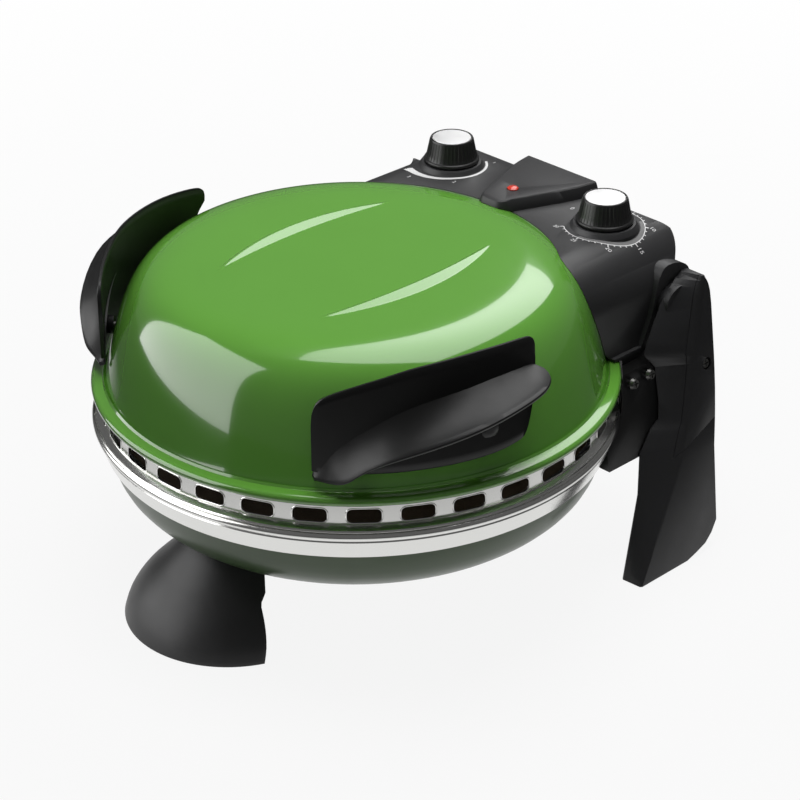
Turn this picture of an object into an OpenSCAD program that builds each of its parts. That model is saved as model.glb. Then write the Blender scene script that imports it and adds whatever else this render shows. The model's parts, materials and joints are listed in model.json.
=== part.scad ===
// Countertop pizza maker: a stone-floored pan on three feet under a hinged, domed lid.
// Millimetres. +X is the user's right, -Y the front, +Z up, table at z = 0.

/* [Baking stone] */
// Diameter of the baking stone
stone_d = 310; // [290:1:330]
// Thickness of the baking stone
stone_t = 12; // [9:0.5:15]
// Gap round the stone's edge
stone_gap = 1.5; // [1:0.25:3]

/* [Pan and steel ring] */
// Height of the ring's crease above the table
crease_z = 107; // [100:1:125]
// Width from the stone's gap to the crease of the steel ring
ring_w = 13.5; // [12:0.5:18]
// Height of the flat conical band below the crease
band_h = 14.3; // [10:0.5:18]
// How far the band tapers inwards
band_taper = 5.4; // [3:0.2:7]
// Height of the bead above the crease
bead_h = 4.6; // [3.5:0.1:6]
// Depth of the painted pan below the band
pan_drop = 55; // [45:1:62]
// Thickness of the painted sheet
sheet_t = 1.2; // [0.8:0.1:1.6]
// Thickness of the bright reflector sheet
foil_t = 0.8; // [0.5:0.1:1]

/* [Lid] */
// Height of the slotted steel band
vent_h = 21.6; // [18:0.2:28]
// Rise of the dome above its lip
dome_rise = 76; // [60:1:100]
// Extra crown at the middle of the dome
dome_crown = 1; // [1:0.5:10]
// How far the dome's side stands inside the crease
dome_inset = 8; // [7:0.5:12]
// Radius of the rolled lip
lip_r = 3.1; // [2.5:0.1:4]
// Number of vent slots
slot_n = 32; // [16:1:36]
// Length of a vent slot
slot_l = 21; // [14:0.5:24]
// Height of a vent slot
slot_h = 9.5; // [6:0.5:11]
// Height of the pressed crescent ribs
rib_h = 1.2; // [0.6:0.2:2.4]

/* [Heating elements] */
// Diameter of the heating tube
tube_d = 6.8; // [6:0.2:8.5]
// Radius of the element's outer turn
coil_out_r = 118; // [100:1:126]
// Radius of the element's inner turn
coil_in_r = 66; // [45:1:80]
// Gap between the stone and the top of the lower tube
lower_gap = 8; // [5:1:12]
// Height of the upper tube above the split line
upper_rise = 48; // [40:1:52]

/* [Control housing] */
// Half the width of the housing
house_hw = 114; // [108:1:120]
// Height of the knob plates above the dome's lip
house_h = 70.3; // [66:0.5:78]
// Distance of the housing's rear behind the ring's crease
house_back = 23; // [18:1:28]
// Radius of the housing's upper side corners
house_round = 34; // [24:1:38]
// Wall of the plastic mouldings
wall_t = 2.8; // [2:0.2:3.6]
// Height of the raised centre block
block_h = 8; // [5:0.5:12]

/* [Knobs] */
// Distance of each knob from the middle
knob_x = 70; // [60:1:76]
// Distance of the knobs in front of the ring's crease
knob_in = 13; // [9:1:18]
// Diameter of a knob at its foot
knob_d = 38; // [32:1:42]
// Height of a knob
knob_h = 17; // [13:1:24]
// Radius of a dial spindle
spindle_r = 3; // [2.5:0.25:3.5]

/* [Handles] */
// Reach of the handle's fin beyond the dome's side
fin_reach = 24; // [16:1:30]
// Thickness of the handle's plate and fin
handle_t = 2.6; // [2:0.2:3.2]

/* [Hinge and legs] */
// Distance of the lid's hinge axis behind the ring's crease
hinge_back = 1; // [0:0.5:4]
// Height of the lid's hinge axis above the crease
hinge_rise = 56; // [50:1:60]
// Radius of the hinge pin
pin_r = 4; // [3:0.5:5]
// How far the housing's hinge pad stands proud of its side
hub_out = 3.3; // [2:0.1:5]
// Outward lean of each leg from its top to the table
leg_splay = 36; // [26:1:40]
// Thickness of a leg
leg_t = 16; // [13:1:18]
// Radius of the front foot on the table
foot_r = 69.6; // [60:1:76]

/* [Hidden] */

ROUND = 120;           // sides of the large revolved shells
FINE = 32;             // sides of small round parts
TUBE = 8;              // sides of the heating tubes
DOME_FLAT = 13.3;      // how flat the dome's top stays before its shoulder
DOME_ROUND = 1.35;     // how softly the dome's side runs into its lip
gap = 0.3;             // clearance between neighbouring pieces
run_fit = 0.05;        // radial clearance of a turning fit
screw_r = 2;           // shank radius of the screws
head_r = 3.8;          // head radius of the screws

pan_r = stone_d / 2 + stone_gap + ring_w;         // radius of the ring's crease
bead_out = 1;                                     // bead's bulge beyond the crease
band_z = crease_z - band_h;                       // foot of the steel band
rim_z = crease_z + bead_h;                        // top of the base
split_z = rim_z + 0.4;                            // underside of the closed lid
lip_z = split_z + vent_h + 2.4;                   // foot of the dome's side
band_top = lip_z - 1.3;                           // top of the slotted band
dome_r = pan_r - dome_inset;                      // radius of the dome's side
wall_r = pan_r - band_taper - sheet_t - 0.4;      // outer radius of the pan's wall
pan_z = band_z - pan_drop;                        // underside of the pan
tray_r = stone_d / 2 + stone_gap;                 // inner radius of the stone's seat
seat_z = crease_z - 3 - stone_t;                  // underside of the stone
lower_z = seat_z - lower_gap - tube_d / 2;        // centre of the lower tube
tray_z = lower_z - tube_d / 2 - 4.6;              // floor of the base reflector
upper_z = split_z + upper_rise;                   // centre of the upper tube
roof_z = upper_z + tube_d / 2 + 12;               // edge of the lid reflector's roof
plate_z = lip_z + house_h;                        // top of the knob plates
block_z = plate_z + block_h;                      // top of the centre block
floor_z = lip_z - 1;                              // underside of the housing
house_rear = pan_r + house_back;                  // rear of the housing
house_front = pan_r - 90;                         // plane inside the dome where it starts
house_corner = 24;                                // radius of its upright rear corners
knob_y = pan_r - knob_in;                         // knobs behind the pan's axis
hinge_y = pan_r + hinge_back;                     // hinge axis behind the pan's axis
hole_from = dome_r - 42;                          // where the lid's radial holes start
hinge_z = crease_z + hinge_rise;                  // height of the hinge axis
head_x = house_hw + hub_out + gap;                // plane between hinge pad and leg
leg_top_x = head_x + leg_t + 0.4;                 // outer face at the top of the leg
leg_top_z = hinge_z + 20;                         // top of the leg
foot_y = -pan_r + 59.5;                           // centre of the front foot's arc
foot_cut_y = foot_y - 29.5;                       // plane that cuts off the foot's back
front_y = foot_y - foot_r;                        // foremost point of the whole
rear_y = house_rear;                              // rearmost point of the whole
pan_y = -(front_y + rear_y) / 2;                  // pan axis in the model's frame
tail_x = 10;                                      // the elements' tails from the middle
pad_h = 0.8;                                      // how far the rubber pads stand proud
cover_t = 3.2;                                    // thickness of the leg covers
lamp_y = dome_r - 18;                             // pilot lamp behind the pan's axis
leg_drawn_z = 183;                                // leg height that the leg tables are for
leg_drawn_y = 171;                                // hinge distance that they are for

// ---- paths and solids used by several parts ----

function unit(v) = v / norm(v);
function backwards(v) = [for (i = [len(v) - 1 : -1 : 0]) v[i]];
function right_of(a, b) = let (d = unit(b - a)) [d.y, -d.x];

// Path moved sideways by t, with mitred corners and kept off the axis's far side
function shifted(p, t) = [for (i = [0 : len(p) - 1])
  let (n = len(p) - 1,
       n1 = right_of(p[max(i - 1, 0)], p[max(i, 1)]),
       n2 = right_of(p[min(i, n - 1)], p[min(i + 1, n)]),
       q = p[i] + t * (n1 + n2) / (1 + n1 * n2))
  [max(q.x, 0), q.y]];

function arc(c, r, a0, a1, n = 6) = [for (i = [0 : n])
  let (a = a0 + (a1 - a0) * i / n) c + r * [cos(a), sin(a)]];

function bend(a, b, c, d, t) = 0.5 * (2 * b + (c - a) * t
  + (2 * a - 5 * b + 4 * c - d) * t * t + (3 * b - a - 3 * c + d) * t * t * t);

// Smooth curve through the points p, with n steps between neighbours
function spline(p, n) = let (m = len(p) - 1) concat(
  [for (i = [0 : m - 1]) for (k = [0 : n - 1])
    bend(p[max(i - 1, 0)], p[i], p[i + 1], p[min(i + 2, m)], k / n)],
  [p[m]]);

module revolve(points) {
  rotate_extrude($fn = ROUND)
    polygon(points);
}

// Pressed sheet: the path is its inner or lower side, t its thickness to the right
module pressed(path, t) {
  revolve(concat(path, backwards(shifted(path, t))));
}

// Closed loft through rings of points, each ring with the same count
module loft(rings) {
  n = len(rings[0]);
  m = len(rings);
  polyhedron(
    points = [for (r = rings) for (p = r) p],
    faces = concat(
      [[for (i = [0 : n - 1]) i]],
      [[for (i = [n - 1 : -1 : 0]) (m - 1) * n + i]],
      [for (j = [0 : m - 2]) for (i = [0 : n - 1])
        [j * n + i, (j + 1) * n + i, j * n + (i + 1) % n]],
      [for (j = [0 : m - 2]) for (i = [0 : n - 1])
        [j * n + (i + 1) % n, (j + 1) * n + i, (j + 1) * n + (i + 1) % n]]));
}

module at_pan() {
  translate([0, pan_y, 0])
    children();
}

// Children are drawn along +Z and then point outwards from the pan's axis
module outwards(a, z) {
  rotate([0, 0, a])
    translate([0, 0, z])
      rotate([0, 90, 0])
        children();
}

module both_sides() {
  children();
  mirror([1, 0, 0])
    children();
}

module screw(length) {
  cylinder(r = screw_r, h = length, $fn = FINE);
  translate([0, 0, -2.2])
    difference() {
      cylinder(r1 = head_r - 0.8, r2 = head_r, h = 2.2, $fn = FINE);
      for (a = [0, 90])
        rotate([0, 0, a])
          translate([-2.4, -0.45, -0.1])
            cube([4.8, 0.9, 1.2]);
    }
}

// ---- outlines ----

// Outer side of the painted pan, from its rim down to the middle
pan_path = concat(
  [[wall_r, rim_z - 1.4]],
  spline([[wall_r, band_z], [wall_r - 7.4, band_z - 0.38 * pan_drop],
          [wall_r - 23.6, band_z - 0.65 * pan_drop], [wall_r - 53, band_z - 0.9 * pan_drop],
          [wall_r - 78, pan_z]], 4),
  [[0, pan_z]]);

// Dome height over the radius r: a nearly flat top, a round shoulder and a steep side
function dome_z(r) =
  lip_z + (dome_rise - dome_crown) * pow(1 - pow(r / dome_r, DOME_FLAT), DOME_ROUND)
  + dome_crown * (1 - pow(r / dome_r, 2));

// Outer side of the dome, from the rolled lip up to the middle
lip_c = [pan_r + 0.4 - lip_r, lip_z - lip_r];
dome_steps = 22;
dome_side = [for (i = [1 : dome_steps - 1])
  let (r = dome_r * pow(1 - i / dome_steps, 0.3)) [r, dome_z(r)]];
dome_path = concat(
  arc(lip_c, lip_r, -110, 80, 8),
  [[dome_r + 1.2, lip_z + 0.6], [dome_r + 0.2, lip_z + 2.6]],
  dome_side,
  [[dome_r * 0.2, lip_z + dome_rise], [0, lip_z + dome_rise]]);

// The lid's outer form grown by g, for what fits round it
module dome_solid(g) {
  lip_out = pan_r + 0.4 + g;
  revolve(concat([[0, lip_z - 2 * lip_r - 1], [lip_out, lip_z - 2 * lip_r - 1],
                  [lip_out, lip_z + g], [dome_r + 1.2 + g, lip_z + 1.5 + g]],
                 shifted(dome_side, g),
                 [[0, lip_z + dome_rise + g]]));
}

// The base's outer form grown by g
module base_solid(g) {
  revolve(concat([[0, rim_z + 40], [pan_r + bead_out + g, rim_z + 40],
                  [pan_r + bead_out + g, crease_z], [pan_r - band_taper + g + 0.2, band_z]],
                 shifted([for (i = [1 : len(pan_path) - 1]) pan_path[i]], -g)));
}

// ---- base: pan, ring, reflector, element and stone ----

module base_pan() {
  color([0.2, 0.33, 0.16])
    at_pan()
      difference() {
        pressed(backwards(pan_path), -sheet_t);
        foot_screw_axes()
          cylinder(r = screw_r + 0.1, h = 30, $fn = FINE);
      }
}

module base_ring() {
  color([0.82, 0.82, 0.8])
    at_pan()
      revolve([
        [pan_r - band_taper, band_z], [pan_r, crease_z],
        [pan_r + bead_out, crease_z + 0.3 * bead_h], [pan_r + bead_out, crease_z + 0.7 * bead_h],
        [pan_r - 0.6, rim_z], [pan_r - 10, rim_z], [pan_r - 10, rim_z - sheet_t],
        [pan_r - sheet_t - 0.4, rim_z - sheet_t], [pan_r - sheet_t, crease_z],
        [pan_r - band_taper - sheet_t, band_z]
      ]);
}

module base_reflector() {
  path = [[wall_r - sheet_t - 0.4, rim_z - sheet_t - 0.4], [tray_r, rim_z - sheet_t - 0.4],
          [tray_r, seat_z], [tray_r - 8, seat_z], [tray_r - 10, tray_z + 6],
          [tray_r - 18, tray_z], [0, tray_z]];
  color([0.75, 0.75, 0.74])
    at_pan()
      difference() {
        pressed(path, -foil_t);
        element_tails(lower_z, tube_d / 2 + 0.8, tray_r - 16, tray_r + 3);
      }
}

// The straight ends of an element, or the holes that they pass through
module element_tails(z, r, y0, y1) {
  for (s = [-1, 1])
    translate([s * tail_x, y0, z])
      rotate([-90, 0, 0])
        cylinder(r = r, h = y1 - y0, $fn = FINE);
}

function polar(r, a) = [r * cos(a), r * sin(a)];

// Right half of a heating tube's route: from its tail round the outer turn, then
// doubled back into the inner turn, with every bend tangent to its neighbours
function element_half(tail_y) =
  let (bend_r = 9, turn_a = -72,
       tail_c = [tail_x + bend_r,
                 sqrt(pow(coil_out_r + bend_r, 2) - pow(tail_x + bend_r, 2))],
       tail_a = atan2(tail_c.y, tail_c.x))
  concat([[tail_x, tail_y]],
         arc(tail_c, bend_r, 180, 180 + tail_a, 4),
         arc([0, 0], coil_out_r, tail_a - 5, turn_a + 5, 20),
         arc(polar(coil_out_r - bend_r, turn_a), bend_r, turn_a, turn_a - 90, 4),
         arc(polar(coil_in_r + bend_r, turn_a), bend_r, turn_a - 90, turn_a - 180, 4),
         arc([0, 0], coil_in_r, turn_a + 8, 86, 15));

module element(z, tail_y) {
  half = element_half(tail_y);
  route = concat(half, [for (p = backwards(half)) [-p.x, p.y]]);
  last = len(route) - 1;
  loft([for (i = [0 : last])
    let (d = unit(route[min(i + 1, last)] - route[max(i - 1, 0)]))
    [for (k = [0 : TUBE - 1])
      let (a = 360 * k / TUBE, r = tube_d / 2)
      [route[i].x + r * cos(a) * d.y, route[i].y - r * cos(a) * d.x, z + r * sin(a)]]]);
}

// Saddles that hold an element's outer turn off its reflector
module clips(z, foot_z, low) {
  for (a = [10, 170, -40, 220])
    rotate([0, 0, a])
      difference() {
        translate([coil_out_r - 6, -4, min(foot_z, z + low)])
          cube([12, 8, abs(foot_z - z - low)]);
        translate([0, 0, z])
          rotate_extrude($fn = ROUND)
            translate([coil_out_r, 0])
              circle(d = tube_d + 2 * gap, $fn = FINE);
      }
}

module lower_element() {
  color([0.3, 0.29, 0.28])
    at_pan()
      element(lower_z, wall_r - 9);
}

module lower_element_clips() {
  color([0.7, 0.7, 0.68])
    at_pan()
      clips(lower_z, tray_z, 2);
}

module baking_stone() {
  chamfer = 1.5;
  r = stone_d / 2;
  color([0.78, 0.68, 0.55])
    at_pan()
      revolve([[0, seat_z], [r - chamfer, seat_z], [r, seat_z + chamfer],
               [r, seat_z + stone_t - chamfer], [r - chamfer, seat_z + stone_t],
               [0, seat_z + stone_t]]);
}

// ---- front foot ----

foot_rise = 0.62 * crease_z;      // height at which the foot's dome is tucked under the pan
foot_web = 0.34 * crease_z;       // roof of the foot's hollow
foot_path = spline([[foot_r, pad_h], [foot_r - 3, 0.15 * foot_rise],
                    [foot_r - 8.7, 0.3 * foot_rise], [foot_r - 16.8, 0.45 * foot_rise],
                    [foot_r - 27, 0.6 * foot_rise], [foot_r - 37.8, 0.76 * foot_rise],
                    [foot_r - 46.2, 0.88 * foot_rise], [foot_r - 54.7, foot_rise]], 3);

// Side view of all that lies in front of the foot's stepped, leaning back
foot_back = [[-0.4, -1], [11.3, 0.285 * crease_z], [13, 0.306 * crease_z],
             [16, 0.325 * crease_z], [18.5, 0.341 * crease_z], [24, 0.41 * crease_z],
             [38, crease_z]];

module foot_front() {
  rotate([90, 0, 90])
    translate([foot_cut_y, 0, -100])
      linear_extrude(200)
        polygon(concat([[front_y - foot_cut_y - 10, -1]], foot_back,
                       [[front_y - foot_cut_y - 10, crease_z]]));
}

module front_foot() {
  inner_r = foot_r - wall_t;
  color([0.12, 0.12, 0.12])
    at_pan()
      difference() {
        intersection() {
          translate([0, foot_y, 0])
            difference() {
              revolve(concat([[0, pad_h]], foot_path, [[0, foot_rise]]));
              revolve([[0, pad_h - 1], [inner_r - 5, pad_h - 1], [inner_r - 5, 5],
                       [inner_r - 2.4, 5], [inner_r - 9.5, 0.16 * crease_z],
                       [inner_r - 16, 0.24 * crease_z], [inner_r - 26.2, foot_web],
                       [0, foot_web]]);
            }
          foot_front();
        }
        base_solid(gap);
        foot_screw_axes()
          cylinder(r = screw_r + 0.1, h = 60, $fn = FINE);
        foot_screw_axes()
          translate([0, 0, -30])
            cylinder(r = head_r + 0.4, h = 30, $fn = FINE);
      }
}

// Two screws rise through the foot's web into the pan's bottom
module foot_screw_axes() {
  for (s = [-1, 1])
    translate([s * 20, foot_y - 18, foot_web + 3])
      children();
}

module front_foot_screws() {
  color([0.6, 0.6, 0.6])
    at_pan()
      foot_screw_axes()
        screw(16);
}

// Rubber strip under the front foot's edge, and one pad under each leg
module foot_pads() {
  color([0.05, 0.05, 0.05])
    at_pan() {
      translate([0, foot_y, 0])
        rotate([0, 0, -140])
          rotate_extrude(angle = 100, $fn = ROUND)
            translate([foot_r - wall_t - 3.6, 0])
              square([wall_t + 1.6, pad_h]);
      both_sides()
        leg_pad(0);
    }
}

// ---- legs and hinge ----

leg_foot_x = leg_top_x + leg_splay;

// Pad under a leg, grown by g for its recess
module leg_pad(g) {
  w = 10;
  l = 32;
  translate([leg_foot_x - (leg_t + w) / 2 - g, hinge_y - 73 - g, -g])
    cube([w + 2 * g, l + 2 * g, pad_h + g]);
}

// Outer face of a leg at height z
function leg_x(z) = leg_top_x + leg_splay * (leg_top_z - z) / leg_top_z;

// Front edges of a leg's inner and outer face, and the rear edge: [height, distance]
leg_front_in = [[0, 91], [51, 114], [77, 120], [81, 124], [86, 129], [90, 133], [94, 141],
                [107, 143], [129, 143], [134, 139], [140, 133.8], [152.5, 142.3],
                [160.7, 149.1], [170.3, 157.3], [176.3, 164.9], [180, 171.5], [182.5, 178]];
leg_front_out = [[0, 92], [71, 145], [82.4, 149.3], [96.7, 155], [111, 160.7], [125.4, 165.7],
                 [140, 170.3], [154.8, 174.4], [166.6, 177.3], [174, 179], [183, 182.6]];
leg_rear = [[0, 137], [3, 150], [6, 160], [11, 167], [18, 173], [69, 178.3], [87, 181.7],
            [103, 184.2], [125, 186.4], [144, 187.7], [163, 188.8], [172, 188.8],
            [177, 187.8], [183, 184.3]];
leg_heights = [0, 3, 6, 11, 18, 34, 51, 69, 77, 81, 86, 90, 94, 107, 120, 129, 134, 140, 148,
               157, 163, 168, 172, 175.6, 178, 180, 182, 183];

// Four-cornered section of a leg at height z, with its corners cut by c
function leg_section(z, c) =
  let (h = z * leg_drawn_z / leg_top_z,
       x1 = leg_x(z), x0 = x1 - leg_t, d = hinge_y - leg_drawn_y,
       q = [[x0, lookup(h, leg_front_in) + d], [x1, lookup(h, leg_front_out) + d],
            [x1, lookup(h, leg_rear) + d], [x0, lookup(h, leg_rear) + d]])
  [for (i = [0 : 3]) for (j = [3, 1])
    let (p = q[i], e = q[(i + j) % 4], f = p + min(c, norm(e - p) / 3) * unit(e - p))
    [f.x, f.y, z]];

module leg_blank() {
  loft([for (h = leg_heights) leg_section(max(h * leg_top_z / leg_drawn_z, pad_h), 1.2)]);
}

// Slab along the leg's outer face that the cover fills, with a seam that rises rearwards
module cover_slab(g) {
  z0 = 0.41 * leg_top_z - g;
  seam_a = 20;
  translate([leg_x(z0) - cover_t - g, hinge_y - 24, z0])
    rotate([0, -atan(leg_splay / leg_top_z), 0])
      rotate([seam_a, 0, 0])
        translate([0, -60, 0])
          cube([20, 180, 1.5 * leg_top_z]);
}

module leg_screw_axes() {
  z = 0.68 * leg_top_z;
  translate([leg_x(z) - cover_t, hinge_y + 7, z])
    rotate([0, -90 - atan(leg_splay / leg_top_z), 0])
      children();
}

module leg() {
  difference() {
    union() {
      difference() {
        leg_blank();
        cover_slab(gap);
      }
      translate([head_x, hinge_y, hinge_z])
        rotate([0, 90, 0])
          cylinder(r = 14, h = 8, $fn = 64);
    }
    translate([head_x - 1, hinge_y, hinge_z])
      rotate([0, 90, 0])
        cylinder(r = pin_r + run_fit, h = 11, $fn = FINE);
    leg_screw_axes()
      cylinder(r = screw_r + 0.1, h = 9, $fn = FINE);
    leg_pad(gap);
  }
}

module leg_cover() {
  difference() {
    intersection() {
      leg_blank();
      cover_slab(0);
    }
    leg_screw_axes()
      translate([0, 0, -6])
        cylinder(r = head_r + 0.4, h = 9, $fn = FINE);
  }
}

module right_leg() {
  color([0.16, 0.16, 0.17])
    at_pan()
      leg();
}

module left_leg() {
  color([0.16, 0.16, 0.17])
    at_pan()
      mirror([1, 0, 0])
        leg();
}

module right_leg_cover() {
  color([0.2, 0.2, 0.21])
    at_pan()
      leg_cover();
}

module left_leg_cover() {
  color([0.2, 0.2, 0.21])
    at_pan()
      mirror([1, 0, 0])
        leg_cover();
}

module leg_screws() {
  color([0.5, 0.5, 0.5])
    at_pan()
      both_sides()
        leg_screw_axes()
          translate([0, 0, 0.2])
            screw(7);
}

// Inner face of a leg
module leg_side(g) {
  translate([leg_x(0) - leg_t - g, 0, 0])
    rotate([0, -atan(leg_splay / leg_top_z), 0])
      translate([-200, 0, -100])
        cube([200, 400, 400]);
}

module bracket_screw_axes() {
  for (p = [[pan_r - 49, crease_z + 19], [pan_r - 33, crease_z + 20]])
    translate([leg_x(p.y) - leg_t + 1.9, p.x, p.y])
      rotate([0, -90 - atan(leg_splay / leg_top_z), 0])
        children();
}

// Moulded block that joins the pan's flank and the ring to a leg
module hinge_bracket() {
  difference() {
    intersection() {
      translate([head_x - 16, hinge_y - 79, crease_z - 32])
        cube([60, 61, 58]);
      leg_side(gap);
    }
    base_solid(gap);
    translate([0, 0, rim_z - 1])
      cube([head_x + gap, 2 * hinge_y, 60]);
    bracket_screw_axes()
      cylinder(r = screw_r + 0.1, h = leg_t, $fn = FINE);
  }
}

module right_hinge_bracket() {
  color([0.08, 0.08, 0.08])
    at_pan()
      hinge_bracket();
}

module left_hinge_bracket() {
  color([0.08, 0.08, 0.08])
    at_pan()
      mirror([1, 0, 0])
        hinge_bracket();
}

module bracket_screws() {
  color([0.75, 0.75, 0.75])
    at_pan()
      both_sides()
        bracket_screw_axes()
          screw(10);
}

module hinge_pins() {
  color([0.7, 0.7, 0.7])
    at_pan()
      both_sides()
        translate([head_x - 18, hinge_y, hinge_z])
          rotate([0, 90, 0])
            cylinder(r = pin_r, h = 27.5, $fn = FINE);
}

// ---- lid: dome, vent band, reflector, element ----

// Pressed crescent rib, seen from above, between two arcs through its pointed tips
module crescent(tip_x, half, bulge_in, bulge_out) {
  function arc_r(bulge) = (half * half + bulge * bulge) / (2 * bulge);
  difference() {
    intersection() {
      translate([tip_x + bulge_out - arc_r(bulge_out), 0])
        circle(r = arc_r(bulge_out), $fn = ROUND);
      translate([tip_x, -half])
        square([bulge_out + 1, 2 * half]);
    }
    translate([tip_x + bulge_in - arc_r(bulge_in), 0])
      circle(r = arc_r(bulge_in), $fn = ROUND);
  }
}

module lid_dome() {
  color([0.22, 0.42, 0.16])
    at_pan()
      difference() {
        union() {
          pressed(dome_path, -sheet_t);
          intersection() {
            revolve(concat(shifted(dome_top, rib_h), backwards(shifted(dome_top, -0.3))));
            both_sides()
              translate([0, 0, lip_z])
                linear_extrude(dome_rise + 10)
                  crescent(45, 77, 6, 19);
          }
        }
        both_sides()
          handle_screw_axes()
            radial_hole(screw_r + 0.2);
        housing_screw_axes()
          radial_hole(screw_r + 0.2);
        element_tails(upper_z, tube_d / 2 + 0.8, dome_r - 32, dome_r + 3);
        probe_axis()
          cylinder(r = 3.6, h = 60, $fn = FINE);
      }
}

// Hole drawn outwards from inside the dome's wall
module radial_hole(r) {
  translate([0, 0, hole_from])
    cylinder(r = r, h = 50, $fn = FINE);
}

// The dome's top, wide enough for the crescents
dome_top = concat([for (i = [6 : dome_steps - 1]) dome_side[i - 1]],
                  [[dome_r * 0.2, lip_z + dome_rise], [0, lip_z + dome_rise]]);

module slot_cutter() {
  c = 3.4;
  outwards(0, 0)
    translate([0, 0, pan_r - 12])
      linear_extrude(16)
        union() {
          square([slot_h - 2 * c, slot_l], center = true);
          square([slot_h, slot_l - 2 * c], center = true);
          for (x = [-1, 1], y = [-1, 1])
            translate([x * (slot_h / 2 - c), y * (slot_l / 2 - c)])
              circle(r = c, $fn = FINE);
        }
}

module vent_band() {
  r = pan_r - 5;
  top = band_top;
  color([0.82, 0.82, 0.8])
    at_pan()
      difference() {
        revolve([
          [r - foil_t, split_z + 1.6], [pan_r - 1.6, split_z], [pan_r - 0.2, split_z],
          [pan_r + 0.2, split_z + 0.9], [pan_r - 0.4, split_z + 1.8],
          [pan_r - 1.6, split_z + 1.2], [r, split_z + 2.9], [r, top],
          [dome_r - 0.6, top], [dome_r - 0.6, top - foil_t], [r - foil_t, top - foil_t]
        ]);
        for (i = [0 : slot_n - 1])
          rotate([0, 0, -109.4 + 360 * i / slot_n])
            translate([0, 0, split_z + 9.4])
              slot_cutter();
      }
}

reflector_path = [[pan_r - 6.4, band_top - 2 * foil_t - gap],
                  [dome_r - 4, band_top - 2 * foil_t - gap],
                  [dome_r - 12, lip_z + 12], [dome_r - 20, roof_z - 14],
                  [dome_r - 36, roof_z - 3], [0, roof_z]];

module lid_reflector() {
  color([0.75, 0.75, 0.74])
    at_pan()
      difference() {
        pressed(reflector_path, foil_t);
        element_tails(upper_z, tube_d / 2 + 0.8, dome_r - 32, dome_r - 2);
        probe_axis()
          cylinder(r = 3.6, h = 60, $fn = FINE);
      }
}

module lid_insulation() {
  color([0.9, 0.88, 0.8])
    at_pan()
      revolve([[0, roof_z + foil_t + gap], [dome_r - 38, roof_z - 3 + foil_t + gap],
               [dome_r - 28, roof_z + 8], [dome_r - 40, lip_z + dome_rise - 16],
               [0, lip_z + dome_rise - 12]]);
}

module upper_element() {
  color([0.3, 0.29, 0.28])
    at_pan()
      element(upper_z, house_rear - 14);
}

module upper_element_clips() {
  color([0.7, 0.7, 0.68])
    at_pan()
      intersection() {
        clips(upper_z, roof_z, -2);
        revolve([[0, 0], [dome_r - 20.2, 0], [dome_r - 20.2, roof_z - 14],
                 [dome_r - 36.2, roof_z - 3.1], [0, roof_z - 0.1]]);
      }
}

// ---- handles ----

// Upper edge of the handle's plate: [angle, height above the crease, inset]
plate_top = [[-52.7, 74, 0], [-52.4, 82, 0], [-51.4, 88.5, 0], [-49.3, 92.5, 0.6],
             [-45, 97, 1.4], [-38, 102.5, 2.8], [-29.7, 107, 4.6], [-16, 107.6, 8],
             [-5, 104.6, 10.6], [-2.6, 101, 11], [-1.4, 94, 11]];
// Lower edge of the plate
plate_low = [[-52.7, 43, 0], [-52.4, 42.4, 0], [-51.4, 42, 0], [-49.3, 41.6, 0],
             [-45, 41.4, 0], [-38, 41.3, 0], [-29.7, 41.4, 0], [-16, 42, 0],
             [-8, 44.4, 0], [-4.6, 50, 0.4], [-1.6, 76, 3]];
// Line where the fin springs from the plate, and the fin's outer edge
fin_in = [[-52.6, 41, 0], [-50.4, 52, 0], [-46.9, 63, 0.6], [-40, 74.5, 1.2],
          [-30.5, 84.4, 2.2], [-15.5, 89, 4.5], [-5, 89, 6.5], [-1.8, 87, 7.5]];
fin_out = [[-52, 39.4, -0.06], [-48.6, 38.6, -0.2], [-45.4, 42.5, -0.46], [-41.3, 53, -0.64],
           [-35.5, 62, -0.8], [-22, 75.5, -1], [-6, 84.6, -0.72], [-2, 83.4, -0.3]];

function on_dome(a, r, h) = [r * cos(a), r * sin(a), crease_z + h];

module handle() {
  r = dome_r + 0.9;
  top = spline(plate_top, 3);
  low = spline(plate_low, 3);
  a = spline(fin_in, 3);
  b = spline(fin_out, 3);
  difference() {
    union() {
      loft([for (i = [0 : len(top) - 1])
        [on_dome(low[i][0], r - low[i][2] - handle_t, low[i][1]),
         on_dome(top[i][0], r - top[i][2] - handle_t, top[i][1]),
         on_dome(top[i][0], r - top[i][2], top[i][1]),
         on_dome(low[i][0], r - low[i][2], low[i][1])]]);
      loft([for (i = [0 : len(a) - 1])
        [on_dome(a[i][0], r - a[i][2] - 1.5, a[i][1] - handle_t),
         on_dome(a[i][0], r - a[i][2] - 1.5, a[i][1]),
         on_dome(b[i][0], r - fin_reach * b[i][2], b[i][1]),
         on_dome(b[i][0], r - fin_reach * b[i][2] + 0.8, b[i][1] - handle_t / 2),
         on_dome(b[i][0], r - fin_reach * b[i][2], b[i][1] - handle_t)]]);
      handle_screw_axes()
        translate([0, 0, dome_r - 12])
          cylinder(r = 6, h = 11, $fn = FINE);
    }
    dome_solid(gap);
    handle_screw_axes()
      cylinder(r = screw_r + 0.1, h = dome_r, $fn = FINE);
  }
}

module handle_screw_axes() {
  for (p = [[-14, 58], [-42, 52]])
    outwards(p.x, crease_z + p.y)
      children();
}

module right_handle() {
  color([0.1, 0.1, 0.1])
    at_pan()
      handle();
}

module left_handle() {
  color([0.1, 0.1, 0.1])
    at_pan()
      mirror([1, 0, 0])
        handle();
}

module handle_screws() {
  color([0.6, 0.6, 0.6])
    at_pan()
      both_sides()
        handle_screw_axes()
          translate([0, 0, dome_r - 12])
            screw(11);
}

// ---- control housing ----

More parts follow.
